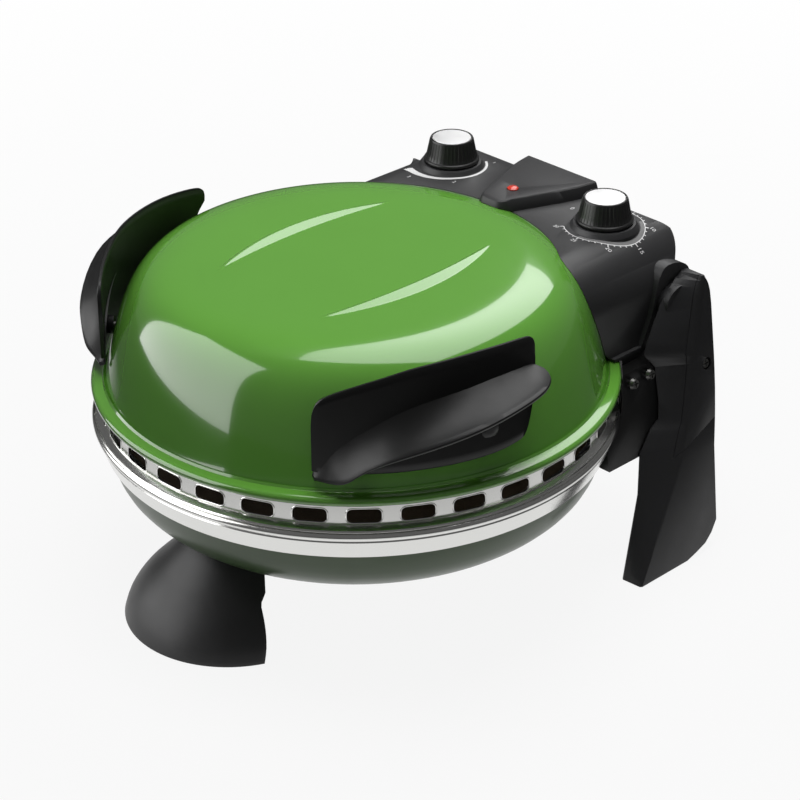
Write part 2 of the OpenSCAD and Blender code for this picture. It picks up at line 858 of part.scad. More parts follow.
// Front view of the housing, drawn in by t on every side
module house_face(t) {
  hw = house_hw - t;
  r = house_round - t;
  union() {
    translate([-hw, floor_z + t])
      square([2 * hw, plate_z - floor_z - 2 * t - r]);
    translate([-hw + r, floor_z + t])
      square([2 * (hw - r), plate_z - floor_z - 2 * t]);
    for (s = [-1, 1])
      translate([s * (hw - r), plate_z - t - r])
        circle(r = r, $fn = 64);
  }
}

// Side view of the housing: [distance behind the axis, height]
module house_side(t) {
  r = 14 - t;
  top_r = 8 - t;
  union() {
    translate([house_front, floor_z + t])
      square([house_rear - t - r - house_front, plate_z - floor_z - 2 * t]);
    translate([house_front, floor_z + t + r])
      square([house_rear - t - house_front, plate_z - floor_z - 2 * t - r - top_r]);
    translate([house_rear - t - r, floor_z + t + r])
      circle(r = r, $fn = 64);
    translate([house_rear - t - top_r, plate_z - t - top_r])
      circle(r = top_r, $fn = 64);
    translate([house_front, plate_z - t - top_r - 10])
      square([house_rear - t - top_r - house_front, top_r + 10]);
  }
}

// Plan of the raised centre block, drawn in by t: [half width, distance from the rear]
block_half = [[34.5, 1], [33.4, 8], [31.7, 16], [28, 27.5], [23.5, 39], [19, 50.5], [14.6, 62],
              [11.5, 70.5], [7, 74], [0, 74.5]];

function block_plan(t) = let (
  side = spline(block_half, 3),
  inner = [for (p = side) [p.x * (1 - t / 35), house_rear - p.y * (1 - t / 66)]])
  concat(inner, [for (i = [len(inner) - 2 : -1 : 0]) [-inner[i].x, inner[i].y]]);

// Side view of the hinge pad: [from the hinge axis rearwards, up]
hub_path = [[-28, -27], [-23, -15], [-18.6, -5], [-16, 5], [-14, 15], [-12, 21], [-9, 25.5],
            [-4, 27.5], [4, 26.5], [11, 24], [16, 20], [19, 13], [20, 0], [18, -14], [8, -24],
            [-8, -27.5]];

module house_outside() {
  intersection() {
    translate([0, house_rear, 0])
      rotate([90, 0, 0])
        linear_extrude(100)
          house_face(0);
    translate([-house_hw, 0, 0])
      rotate([90, 0, 90])
        linear_extrude(2 * house_hw)
          house_side(0);
    union() {
      translate([-house_hw, house_front, floor_z])
        cube([2 * house_hw, house_rear - house_front - house_corner, 90]);
      translate([-house_hw + house_corner, house_front, floor_z])
        cube([2 * (house_hw - house_corner), house_rear - house_front, 90]);
      for (s = [-1, 1])
        translate([s * (house_hw - house_corner), house_rear - house_corner, floor_z])
          cylinder(r = house_corner, h = 90, $fn = 64);
    }
  }
  loft([[for (p = backwards(block_plan(0))) [p.x, p.y, plate_z - 7]],
        [for (p = backwards(block_plan(0.4))) [p.x, p.y, plate_z + 1]],
        [for (p = backwards(block_plan(3))) [p.x, p.y, block_z - 0.8]],
        [for (p = backwards(block_plan(4.2))) [p.x, p.y, block_z]]]);
  both_sides()
    translate([house_hw - 8, hinge_y, hinge_z])
      rotate([90, 0, 90])
        linear_extrude(hub_out + 8)
          polygon(spline(hub_path, 2));
  both_sides()
    cheek();
  for (s = [-1, 1])
    translate([s * knob_x, knob_y, plate_z - 5]) {
      cylinder(r = knob_d / 2 + 4, h = 4.5, $fn = 64);
      translate([0, 0, 4.5])
        cylinder(r1 = knob_d / 2 + 4, r2 = knob_d / 2 + 1.5, h = 3.5, $fn = 64);
    }
}

// Cheek that reaches down beside the slotted band, in front of the hinge
module cheek() {
  difference() {
    translate([house_hw - 16, hinge_y - 53, split_z + 2])
      cube([16 + hub_out - gap, 34, floor_z + 2 - split_z]);
    cylinder(r = pan_r + 1.5, h = lip_z, $fn = ROUND);
  }
}

module house_inside() {
  difference() {
    intersection() {
      translate([0, house_rear + 10, 0])
        rotate([90, 0, 0])
          linear_extrude(120)
            house_face(wall_t);
      union() {
        translate([-house_hw + wall_t, 60, floor_z])
          cube([2 * (house_hw - wall_t), house_rear - 60 - house_corner, 90]);
        translate([-house_hw + house_corner, 60, floor_z])
          cube([2 * (house_hw - house_corner), house_rear - 50, 90]);
      }
    }
    dome_solid(gap + wall_t);
    both_sides()
      translate([house_hw - 16, hinge_y, hinge_z])
        rotate([0, 90, 0])
          cylinder(r = 11, h = 20, $fn = 48);
    housing_screw_axes()
      translate([0, 0, dome_r - 8])
        cylinder(r = 5, h = 18, $fn = FINE);
    cover_screw_axes()
      translate([0, 0, -20])
        cylinder(r = 5, h = 20, $fn = FINE);
  }
}

module cover_screw_axes() {
  for (s = [-1, 1], p = [[house_hw - 32, floor_z + wall_t + 4], [40, plate_z - wall_t - 4]])
    translate([s * p.x, house_rear - 5.6, p.y])
      rotate([-90, 0, 0])
        children();
}

module housing_screw_axes() {
  for (a = [61, 83, 97, 119])
    outwards(a, lip_z + 14)
      children();
}

module control_housing() {
  color([0.17, 0.17, 0.18])
    at_pan()
      difference() {
        house_outside();
        house_inside();
        dome_solid(gap);
        both_sides()
          translate([house_hw - 20, hinge_y, hinge_z])
            rotate([0, 90, 0])
              cylinder(r = pin_r + 2.5 + run_fit, h = 30, $fn = FINE);
        for (s = [-1, 1])
          translate([s * knob_x, knob_y, plate_z - 10])
            cylinder(r = spindle_r + 1, h = 20, $fn = FINE);
        translate([0, lamp_y, plate_z - 6])
          cylinder(r = 4.2, h = 30, $fn = FINE);
        housing_screw_axes()
          radial_hole(screw_r + 0.1);
        cover_screw_axes()
          translate([0, 0, -14])
            cylinder(r = screw_r + 0.1, h = 16, $fn = FINE);
        element_tails(upper_z, tube_d / 2 + 0.8, dome_r - 32, dome_r + 8);
        probe_axis()
          cylinder(r = 3.6, h = 60, $fn = FINE);
      }
}

module housing_screws() {
  color([0.6, 0.6, 0.6])
    at_pan()
      housing_screw_axes()
        translate([0, 0, dome_r - 6.6])
          screw(12);
}

module cover_panel() {
  translate([0, house_rear - 3, 0])
    rotate([90, 0, 0])
      linear_extrude(2.6)
        intersection() {
          house_face(wall_t + gap);
          translate([-house_hw + house_corner + gap, floor_z])
            square([2 * (house_hw - house_corner - gap), 90]);
        }
}

module rear_cover() {
  color([0.13, 0.13, 0.13])
    at_pan()
      difference() {
        cover_panel();
        for (s = [-1, 1], i = [0 : 7])
          translate([s * (36 + 5 * i) - 1.25, house_rear - 8, plate_z - 44])
            cube([2.5, 8, 26]);
        cover_screw_axes()
          cylinder(r = screw_r + 0.1, h = 16, $fn = FINE);
        gland_axis()
          cylinder(r = 7.3, h = 20, center = true, $fn = FINE);
      }
}

module rear_cover_screws() {
  color([0.6, 0.6, 0.6])
    at_pan()
      cover_screw_axes()
        translate([0, 0, 2.6])
          rotate([180, 0, 0])
            screw(12);
}

module gland_axis() {
  translate([0, house_rear - 6.2, floor_z + 16])
    rotate([-90, 0, 0])
      children();
}

// Bush that the mains cord enters through
module cord_bush() {
  color([0.06, 0.06, 0.06])
    at_pan()
      gland_axis()
        difference() {
          union() {
            translate([0, 0, -6])
              cylinder(r = 7, h = 12, $fn = FINE);
            translate([0, 0, 3.5])
              cylinder(r = 9.5, h = 2.3, $fn = FINE);
          }
          translate([0, 0, -7])
            cylinder(r = 3.75, h = 14, $fn = FINE);
        }
}

module hinge_bushes() {
  color([0.8, 0.78, 0.72])
    at_pan()
      both_sides()
        translate([head_x - gap - 18, hinge_y, hinge_z])
          rotate([0, 90, 0])
            difference() {
              cylinder(r = pin_r + 2.5, h = 18, $fn = FINE);
              translate([0, 0, -1])
                cylinder(r = pin_r + run_fit, h = 20, $fn = FINE);
            }
}

// ---- controls inside the housing ----

// A switch body under its knob plate, with a bush that the spindle turns in; most of its
// width lies on the side s
module control_body(s, w, l, h) {
  top = plate_z - wall_t - gap;
  bush_h = 2.5;
  difference() {
    union() {
      translate([s > 0 ? -12 : 12 - w, -11, top - bush_h - h])
        cube([w, l, h]);
      translate([0, 0, top - bush_h - 1])
        cylinder(r = 6, h = bush_h + 1, $fn = FINE);
    }
    translate([0, 0, top - 9])
      cylinder(r = spindle_r + run_fit, h = 10, $fn = FINE);
  }
}

module thermostat() {
  color([0.85, 0.83, 0.78])
    at_pan()
      translate([-knob_x, knob_y, 0])
        control_body(1, 30, 32, 20);
}

module timer() {
  color([0.3, 0.3, 0.32])
    at_pan()
      translate([knob_x, knob_y, 0])
        control_body(-1, 30, 34, 23);
}

module probe_axis() {
  translate([-36, dome_r - 58, upper_z + 7.2])
    rotate([-90, 0, 0])
      children();
}

module thermostat_probe() {
  color([0.72, 0.5, 0.35])
    at_pan()
      probe_axis()
        cylinder(r = 3, h = 54, $fn = FINE);
}

module pilot_lamp() {
  color([0.8, 0.8, 0.8])
    at_pan()
      translate([0, lamp_y, plate_z - 5.7])
        cylinder(r = 3.8, h = 6.9, $fn = FINE);
}

module pilot_lens() {
  color([0.85, 0.12, 0.08])
    at_pan()
      translate([0, lamp_y, plate_z + 1.5])
        union() {
          cylinder(r = 3.9, h = block_h - 1, $fn = FINE);
          translate([0, 0, block_h - 1])
            cylinder(r1 = 3.9, r2 = 2.4, h = 1, $fn = FINE);
        }
}

module terminal_block() {
  color([0.9, 0.9, 0.88])
    at_pan()
      translate([-16, house_rear - 17.2, upper_z + tube_d / 2 + 3])
        cube([32, 11.3, 12]);
}

// ---- knobs ----

module knob(s) {
  z0 = plate_z + 3 + gap;
  r = knob_d / 2;
  top_r = r - 4.4;
  translate([s * knob_x, knob_y, z0])
    difference() {
      rotate_extrude($fn = 64)
        polygon([[0, 0], [r - 0.6, 0], [r, 0.6], [r, 2.2], [r - 0.5, 2.8],
                 [top_r + 0.5, knob_h - 1.2], [top_r, knob_h - 0.4],
                 [top_r - 0.8, knob_h], [0, knob_h]]);
      translate([0, 0, knob_h - 1])
        cylinder(r = top_r - 1.2, h = 2, $fn = 64);
      translate([0, 0, -1])
        cylinder(r = spindle_r + run_fit, h = knob_h - 3, $fn = FINE);
    }
}

module knob_cap(s) {
  translate([s * knob_x, knob_y, plate_z + 3 + gap + knob_h - 1])
    cylinder(r1 = knob_d / 2 - 5.7, r2 = knob_d / 2 - 6, h = 1.2, $fn = 64);
}

module spindle(s) {
  z0 = plate_z - wall_t - gap - 8.5;
  translate([s * knob_x, knob_y, z0])
    cylinder(r = spindle_r, h = plate_z + 3 + knob_h - 4.2 - z0, $fn = FINE);
}

module thermostat_knob() {
  color([0.1, 0.1, 0.1])
    at_pan()
      knob(-1);
}

module thermostat_cap() {
  color([0.85, 0.85, 0.86])
    at_pan()
      knob_cap(-1);
}

module thermostat_spindle() {
  color([0.7, 0.7, 0.7])
    at_pan()
      spindle(-1);
}

module timer_knob() {
  color([0.1, 0.1, 0.1])
    at_pan()
      knob(1);
}

module timer_cap() {
  color([0.85, 0.85, 0.86])
    at_pan()
      knob_cap(1);
}

module timer_spindle() {
  color([0.7, 0.7, 0.7])
    at_pan()
      spindle(1);
}

base_pan();
base_ring();
base_reflector();
lower_element();
lower_element_clips();
baking_stone();
front_foot();
front_foot_screws();
foot_pads();
right_hinge_bracket();
left_hinge_bracket();
bracket_screws();
right_leg();
left_leg();
right_leg_cover();
left_leg_cover();
leg_screws();
hinge_pins();
lid_dome();
vent_band();
lid_reflector();
lid_insulation();
upper_element();
upper_element_clips();
right_handle();
left_handle();
handle_screws();
control_housing();
housing_screws();
rear_cover();
rear_cover_screws();
hinge_bushes();
thermostat();
thermostat_probe();
timer();
pilot_lamp();
pilot_lens();
terminal_block();
cord_bush();
thermostat_knob();
thermostat_cap();
thermostat_spindle();
timer_knob();
timer_cap();
timer_spindle();
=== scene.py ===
# %% [markdown]
# # Electric pizza maker
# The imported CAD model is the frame: it fixes every size and every joint. This
# lesson dresses it. Pieces that the CAD model already draws well keep their shape
# and get a finish; the pressed lid, the pan's ring, the grips, the knobs and the
# heaters are made again with finer meshes, on the same sizes.

# %% Load the frame
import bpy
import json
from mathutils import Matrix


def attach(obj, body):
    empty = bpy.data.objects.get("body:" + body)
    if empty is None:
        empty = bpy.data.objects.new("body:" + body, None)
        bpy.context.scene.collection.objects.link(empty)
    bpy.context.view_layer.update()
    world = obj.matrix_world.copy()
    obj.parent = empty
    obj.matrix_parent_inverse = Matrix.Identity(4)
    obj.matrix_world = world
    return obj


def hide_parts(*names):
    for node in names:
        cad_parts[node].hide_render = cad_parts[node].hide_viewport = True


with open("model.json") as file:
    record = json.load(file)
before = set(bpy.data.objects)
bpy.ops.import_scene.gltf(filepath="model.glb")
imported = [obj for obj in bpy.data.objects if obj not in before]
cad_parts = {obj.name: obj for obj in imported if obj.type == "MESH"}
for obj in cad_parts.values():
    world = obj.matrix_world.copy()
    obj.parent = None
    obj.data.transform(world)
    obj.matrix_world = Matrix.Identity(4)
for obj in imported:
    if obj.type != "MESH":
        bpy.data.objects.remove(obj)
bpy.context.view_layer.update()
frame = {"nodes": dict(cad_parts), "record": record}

import json
import math
import bmesh
import bpy
import numpy as np
from mathutils import Matrix, Vector

MM = 0.001           # the pieces below are drawn in millimetres
PAN_Y = -6.45        # where the pan's axis stands in the frame


# %% New objects
def added(name, data):
    """New object in the scene."""
    obj = bpy.data.objects.new(name, data)
    bpy.context.scene.collection.objects.link(obj)
    return obj


# %% [markdown]
# ## Camera
# A long lens stands at the front right and looks down by about 29 degrees, which
# keeps the rings nearly free of perspective. Its axes are given as a rotation
# matrix, because that is how the viewing angle was solved.

# %% Camera
CAMERA_AT = (1.032258, -0.975292, 0.886092)
CAMERA_RIGHT = (0.69865537, 0.71545836, 0.0)
CAMERA_UP = (-0.34432046, 0.33623388, 0.87657869)
CAMERA_BACK = (0.62715555, -0.61242641, 0.48125856)
LENS, SENSOR, FARTHEST = 111.835, 36, 20
camera = added("camera", bpy.data.cameras.new("camera"))
camera.data.lens = LENS
camera.data.sensor_width = SENSOR
camera.data.clip_end = FARTHEST
axes = Matrix((CAMERA_RIGHT, CAMERA_UP, CAMERA_BACK)).transposed()
camera.matrix_world = Matrix.Translation(CAMERA_AT) @ axes.to_4x4()
bpy.context.scene.camera = camera
bpy.context.scene.view_settings.view_transform = "Standard"

# %% [markdown]
# ## Helpers for materials
# A finish is a small node tree. These helpers write one node in one line, so that
# each finish below reads as a list of decisions.

# %% Material helpers
def new_material(name, color, rough, metallic=0.0, coat=0.0, coat_rough=0.05):
    mat = bpy.data.materials.new(name)
    mat.use_nodes = True
    bsdf = mat.node_tree.nodes["Principled BSDF"]
    bsdf.inputs["Base Color"].default_value = (*color, 1)
    bsdf.inputs["Roughness"].default_value = rough
    bsdf.inputs["Metallic"].default_value = metallic
    bsdf.inputs["Coat Weight"].default_value = coat
    bsdf.inputs["Coat Roughness"].default_value = coat_rough
    return mat, mat.node_tree, bsdf


def node(tree, kind, **values):
    """New node, with each value set on its input or else on the node itself."""
    made = tree.nodes.new(kind)
    for key, value in values.items():
        if key in made.inputs:
            made.inputs[key].default_value = value
        else:
            setattr(made, key, value)
    return made


def object_coords(tree, scale=(1, 1, 1)):
    place = node(tree, "ShaderNodeTexCoord")
    mapping = node(tree, "ShaderNodeMapping", Scale=scale)
    tree.links.new(place.outputs["Object"], mapping.inputs["Vector"])
    return mapping.outputs["Vector"]


def noise(tree, vector, scale, detail=3.0, rough=0.5):
    made = node(tree, "ShaderNodeTexNoise", Scale=scale, Detail=detail, Roughness=rough)
    tree.links.new(vector, made.inputs["Vector"])
    return made.outputs["Fac"]


def spread(tree, fac, low, high, from_low=0.0, from_high=1.0):
    """A value carried over from one range to another."""
    made = node(tree, "ShaderNodeMapRange")
    for key, value in (("From Min", from_low), ("From Max", from_high),
                       ("To Min", low), ("To Max", high)):
        made.inputs[key].default_value = value
    tree.links.new(fac, made.inputs["Value"])
    return made.outputs["Result"]


def tint(tree, bsdf, fac, dark, light):
    made = node(tree, "ShaderNodeMix", data_type="RGBA")
    colors = {"A": (*dark, 1), "B": (*light, 1)}
    for socket in made.inputs:
        if socket.type == "RGBA":
            socket.default_value = colors[socket.name]
    mixed = [socket for socket in made.outputs if socket.type == "RGBA"][0]
    tree.links.new(fac, made.inputs["Factor"])
    tree.links.new(mixed, bsdf.inputs["Base Color"])


def bump(tree, bsdf, height, strength, distance):
    made = node(tree, "ShaderNodeBump", Strength=strength, Distance=distance)
    tree.links.new(height, made.inputs["Height"])
    tree.links.new(made.outputs["Normal"], bsdf.inputs["Normal"])


# %% [markdown]
# ## Finishes
# Enamel is a smooth colour under a clear, glossy skin with a trace of orange peel.
# Moulded plastic carries a fine spark-eroded grain. Rolled steel shows lines that
# run round with the rolling, so its noise is squeezed along the height. Each
# finish varies a little in colour and gloss, as hands and heat make it.

# %% Enamel
def enamel(name, dark, light, rough=0.12, coat=1.0):
    mat, tree, bsdf = new_material(name, light, rough, coat=coat, coat_rough=0.03)
    at = object_coords(tree)
    tint(tree, bsdf, noise(tree, at, 14), dark, light)
    tree.links.new(spread(tree, noise(tree, at, 60), rough - 0.03, rough + 0.05),
                   bsdf.inputs["Roughness"])
    bump(tree, bsdf, noise(tree, at, 420, 1), 0.03, 0.0002)
    return mat


# %% Moulded plastic
def plastic(name, dark, light, rough=0.45, grain=0.25, shine=0.5):
    mat, tree, bsdf = new_material(name, light, rough)
    bsdf.inputs["Specular IOR Level"].default_value = shine
    at = object_coords(tree)
    tint(tree, bsdf, noise(tree, at, 30), dark, light)
    tree.links.new(spread(tree, noise(tree, at, 90), rough - 0.05, rough + 0.07),
                   bsdf.inputs["Roughness"])
    bump(tree, bsdf, noise(tree, at, 2600, 2), grain, 0.0001)
    return mat


# %% Metals
def metal(name, dark, light, rough=0.3, lines=(1, 1, 1), size=300, depth=0.15, patch=8):
    mat, tree, bsdf = new_material(name, light, rough, metallic=1.0)
    at = object_coords(tree)
    tint(tree, bsdf, noise(tree, at, patch), dark, light)
    fine = noise(tree, object_coords(tree, lines), size, 4, 0.7)
    tree.links.new(spread(tree, fine, rough * 0.8, rough * 1.3, 0.3, 0.7),
                   bsdf.inputs["Roughness"])
    bump(tree, bsdf, fine, depth, 0.00005)
    return mat


# %% Fired clay
def clay(name, dark, light):
    mat, tree, bsdf = new_material(name, light, 0.85)
    at = object_coords(tree)
    speck = noise(tree, at, 700, 6, 0.8)
    tint(tree, bsdf, spread(tree, speck, 0, 1, 0.3, 0.7), dark, light)
    bump(tree, bsdf, noise(tree, at, 900, 6, 0.8), 0.6, 0.0005)
    return mat


# %% The finishes by material slot
FINISH = {
    "green_enamel": enamel("green_enamel", (0.100, 0.292, 0.034), (0.110, 0.318, 0.039)),
    "dark_green_enamel": enamel("dark_green_enamel", (0.044, 0.082, 0.030),
                                (0.052, 0.094, 0.035), rough=0.34, coat=0.1),
    "polished_steel": metal("polished_steel", (0.72, 0.72, 0.70), (0.80, 0.80, 0.78),
                            rough=0.16, lines=(1, 1, 40), size=60, depth=0.05),
    "bright_reflector": metal("bright_reflector", (0.70, 0.70, 0.69), (0.80, 0.80, 0.79),
                              rough=0.28, size=120, depth=0.03),
    "element_steel": metal("element_steel", (0.14, 0.12, 0.11), (0.30, 0.28, 0.27),
                           rough=0.5, size=900, depth=0.4, patch=40),
    "baking_stone": clay("baking_stone", (0.42, 0.31, 0.20), (0.62, 0.50, 0.36)),
    "black_plastic": plastic("black_plastic", (0.020, 0.020, 0.021), (0.026, 0.026, 0.027),
                             rough=0.42, shine=0.45),
    "leg_plastic": plastic("leg_plastic", (0.013, 0.013, 0.014), (0.017, 0.017, 0.018),
                           rough=0.42, shine=0.45),
    "handle_plastic": plastic("handle_plastic", (0.005, 0.005, 0.005), (0.008, 0.008, 0.008),
                              rough=0.34, shine=0.4),
    "rubber": plastic("rubber", (0.012, 0.012, 0.012), (0.02, 0.02, 0.02), rough=0.8),
    "zinc_screw": metal("zinc_screw", (0.20, 0.20, 0.19), (0.28, 0.28, 0.27), rough=0.35),
    "pin_steel": metal("pin_steel", (0.50, 0.50, 0.50), (0.62, 0.62, 0.62), rough=0.25),
    "bush_plastic": plastic("bush_plastic", (0.66, 0.62, 0.54), (0.76, 0.73, 0.66)),
    "wool": clay("wool", (0.70, 0.66, 0.55), (0.85, 0.82, 0.74)),
    "switch_plastic": plastic("switch_plastic", (0.70, 0.67, 0.60), (0.78, 0.76, 0.70)),
    "timer_plastic": plastic("timer_plastic", (0.09, 0.09, 0.10), (0.13, 0.13, 0.14)),
    "copper": metal("copper", (0.62, 0.30, 0.16), (0.78, 0.42, 0.25), rough=0.3),
    "lamp_body": plastic("lamp_body", (0.6, 0.6, 0.6), (0.72, 0.72, 0.72), rough=0.2),
    "red_lens": enamel("red_lens", (0.50, 0.025, 0.012), (0.66, 0.05, 0.025), rough=0.15),
    "terminal_plastic": plastic("terminal_plastic", (0.8, 0.8, 0.76), (0.88, 0.88, 0.85)),
    "knob_plastic": plastic("knob_plastic", (0.010, 0.010, 0.010), (0.014, 0.014, 0.014),
                            rough=0.3),
    "silver_cap": metal("silver_cap", (0.86, 0.86, 0.86), (0.92, 0.92, 0.92), rough=0.5,
                        size=40, depth=0.02),
}
SLOT = {s["node"]: s["material_slot"] for s in frame["record"]["subparts"]}
BODY = {n: b for b, ns in frame["record"]["behaviour"]["bodies"].items() for n in ns}

for name, cad_node in frame["nodes"].items():
    cad_node.data.materials.clear()
    cad_node.data.materials.append(FINISH[SLOT[name]])
print("finishes:", len(FINISH))

# %% [markdown]
# ## Helpers for meshes
# A piece is a list of points and faces in millimetres round the pan's axis. The
# helper moves it into the frame, turns its faces outwards, smooths it where its
# faces meet gently, and hands it to the body that it rides on.

# %% Mesh helpers
# Edges flatter than these angles are shaded smooth, each for its kind of piece.
SMOOTH, SMOOTH_RING, SMOOTH_GRIP, SMOOTH_TUBE, SMOOTH_FIGURE = 40.0, 28, 48, 50, 30
MERGE, CAD_MERGE = 1e-6, 2e-6       # points closer than this are one, in metres
BEVEL_STEPS, BEVEL_FROM = 2, 32.0   # only edges sharper than this angle are bevelled
FLAT_TO = 0.6                       # CAD faces within this angle are joined first


def piece(name, verts, faces, slot, body, stands_for=(), smooth=SMOOTH, material=None):
    mesh = bpy.data.meshes.new(name)
    at = [(x * MM, (y + PAN_Y) * MM, z * MM) for x, y, z in verts]
    mesh.from_pydata(at, [], faces)
    mesh.validate()
    return settle(added(name, mesh), slot, body, stands_for, smooth, material)


def settle(obj, slot, body, stands_for=(), smooth=SMOOTH, material=None, merge=MERGE):
    work = bmesh.new()
    work.from_mesh(obj.data)
    bmesh.ops.remove_doubles(work, verts=work.verts, dist=merge)
    bmesh.ops.recalc_face_normals(work, faces=work.faces)
    limit = math.radians(smooth)
    for edge in work.edges:
        edge.smooth = len(edge.link_faces) == 2 and edge.calc_face_angle(0) < limit
    for face in work.faces:
        face.smooth = True
    work.to_mesh(obj.data)
    work.free()
    obj.data.materials.clear()
    obj.data.materials.append(material or FINISH[slot])
    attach(obj, body)
    if stands_for:
        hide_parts(*stands_for)
    return obj


def circle(steps):
    """Angles in even steps once round."""
    return [2 * math.pi * k / steps for k in range(steps)]


def arc(cx, cz, r, a0, a1, n):
    """Points of an arc from one angle to another, in degrees."""
    return [(cx + r * math.cos(math.radians(a0 + (a1 - a0) * i / n)),
             cz + r * math.sin(math.radians(a0 + (a1 - a0) * i / n))) for i in range(n + 1)]


def tube_faces(n, m, closed):
    """Faces between m rings of n points; a closed tube also joins the last to the first."""
    return [(j * n + i, j * n + (i + 1) % n,
             ((j + 1) % m) * n + (i + 1) % n, ((j + 1) % m) * n + i)
            for j in range(m if closed else m - 1) for i in range(n)]


def skin(rings):
    """Closed skin through rings of points, capped at both ends."""
    n, m = len(rings[0]), len(rings)
    verts = [tuple(p) for ring in rings for p in ring]
    caps = [tuple(range(n)), tuple(range((m - 1) * n, m * n))[::-1]]
    return verts, tube_faces(n, m, False) + caps


def spun(name, profile, sides, slot, body, stands_for, smooth=SMOOTH, at=(0, 0)):
    """Closed profile of (radius, height) points spun round an upright axis."""
    verts = [(at[0] + r * math.cos(a), at[1] + r * math.sin(a), z)
             for a in circle(sides) for r, z in profile]
    faces = tube_faces(len(profile), sides, True)
    return piece(name, verts, faces, slot, body, stands_for, smooth)


def apply_modifiers(obj):
    depsgraph = bpy.context.evaluated_depsgraph_get()
    depsgraph.update()
    mesh = bpy.data.meshes.new_from_object(obj.evaluated_get(depsgraph))
    obj.modifiers.clear()
    old = obj.data
    obj.data = mesh
    bpy.data.meshes.remove(old)


def softened(name, new_name, width):
    """Copy of a CAD node with its edges rounded, which then stands for the node."""
    obj = added(new_name, frame["nodes"][name].data.copy())
    work = bmesh.new()
    work.from_mesh(obj.data)
    bmesh.ops.remove_doubles(work, verts=work.verts, dist=CAD_MERGE)
    bmesh.ops.dissolve_limit(work, angle_limit=math.radians(FLAT_TO), verts=work.verts,
                             edges=work.edges, delimit={"NORMAL"})
    work.to_mesh(obj.data)
    work.free()
    if width:
        bevel = obj.modifiers.new("bevel", "BEVEL")
        bevel.width = width * MM
        bevel.segments = BEVEL_STEPS
        bevel.limit_method = "ANGLE"
        bevel.angle_limit = math.radians(BEVEL_FROM)
        apply_modifiers(obj)
    return settle(obj, SLOT[name], BODY[name], (name,))


# %% [markdown]
# ## Lid
# The lid is one drawn sheet: a nearly flat top, a round shoulder, a steep side and
# a rolled lip. Its profile is a power curve, so a fine spun mesh follows it without
# flats. The two long crescents on top are pressed up from below: the points of that
# mesh are lifted, steeply along the left edge of each crescent and then falling
# gently towards its right edge, which is what draws a thin bright line on each.

# %% Lid profile
DOME_R, LIP_Z, LIP_R, PAN_R = 162.0, 136.0, 3.1, 170.0
SHEET = 1.2
RISE, SIDE_POWER, SHOULDER_POWER, CROWN = 75.0, 13.3, 1.35, 1.0
CRESCENT_HALF, CRESCENT_X = 77.0, 45      # half the length; how far the tips lie sideways
INNER_BOW, OUTER_BOW = 7, 18.5            # how far the two edges bow out between the tips
CRESCENT_LIFT, STEEP, GENTLE, DIP = 2.15, 0.3, 0.75, 0.08


def dome_height(r):
    q = min(abs(r) / DOME_R, 1.0)
    return LIP_Z + RISE * max(1 - q ** SIDE_POWER, 0) ** SHOULDER_POWER + CROWN * (1 - q * q)


def smoothstep(low, high, x):
    t = min(max((x - low) / (high - low), 0.0), 1.0)
    return t * t * (3 - 2 * t)


def crescent_lift(x, y):
    """How far the pressed crescents stand up at a place on the lid's top."""
    t = y / CRESCENT_HALF
    if abs(t) >= 1.0:
        return 0.0
    arch = 1 - t * t
    inner, outer = CRESCENT_X + INNER_BOW * arch, CRESCENT_X + OUTER_BOW * arch
    across = (abs(x) - inner) / (outer - inner)
    if not 0 < across < 1:
        return 0.0
    if x < 0:
        across = 1 - across
    rise = smoothstep(0, STEEP, across)
    fall = min((1 - across) / GENTLE, 1.0 - DIP * smoothstep(0.1, 0.4, across))
    return CRESCENT_LIFT * arch * rise * fall


# %% Lid mesh
LID_SIDES = 450
FIRST_R, LAST_GAP, PROBE = 4.0, 0.15, 0.05
FINE, COARSE = 0.7, 2.4                   # spacing of the rings, fine across the crescents
FINE_FROM, FINE_TO = 43, 97
TOP_FROM = 200                            # the crescents lie on the top, above this height


def lid_rings():
    """Radii of the lid's rings, spaced evenly along its profile."""
    rings, r = [], FIRST_R
    while r < DOME_R - LAST_GAP:
        rings.append(r)
        slope = (dome_height(r) - dome_height(r + PROBE)) / PROBE
        r += (FINE if FINE_FROM < r < FINE_TO else COARSE) / math.hypot(1, slope)
    return rings


def lid():
    """Outer side from the middle to the rolled lip, then the inner side back."""
    rings = lid_rings()
    cx, cz = PAN_R + 0.4 - LIP_R, LIP_Z - LIP_R
    path = [(r, dome_height(r)) for r in rings]
    path += [(DOME_R + 0.2, LIP_Z + 2.2), (DOME_R + 1.2, LIP_Z + 0.7)]
    path += arc(cx, cz, LIP_R, 80, -100, 15)
    path += arc(cx, cz, LIP_R - SHEET, -110, 80, 10) + [(DOME_R - 0.6, LIP_Z + 0.5)]
    path += [(r - SHEET * 0.8, dome_height(r) - SHEET * 0.8) for r in rings[::-6]]
    tops = set(rings)
    verts = [(0, 0, dome_height(0))]
    for r, z in path:
        for a in circle(LID_SIDES):
            x, y = r * math.cos(a), r * math.sin(a)
            lift = crescent_lift(x, y) if z > TOP_FROM and r in tops else 0
            verts.append((x, y, z + lift))
    verts.append((0, 0, dome_height(0) - SHEET))
    following = [(k, (k + 1) % LID_SIDES) for k in range(LID_SIDES)]
    faces = [(0, 1 + k, 1 + after) for k, after in following]
    for j in range(len(path) - 1):
        a, b = 1 + j * LID_SIDES, 1 + (j + 1) * LID_SIDES
        faces += [(a + k, b + k, b + after, a + after) for k, after in following]
    last = 1 + (len(path) - 1) * LID_SIDES
    faces += [(len(verts) - 1, last + after, last + k) for k, after in following]
    return piece("lid_shell", verts, faces, "green_enamel", "lid", ("lid_dome",))


print("lid:", len(lid().data.polygons), "faces")

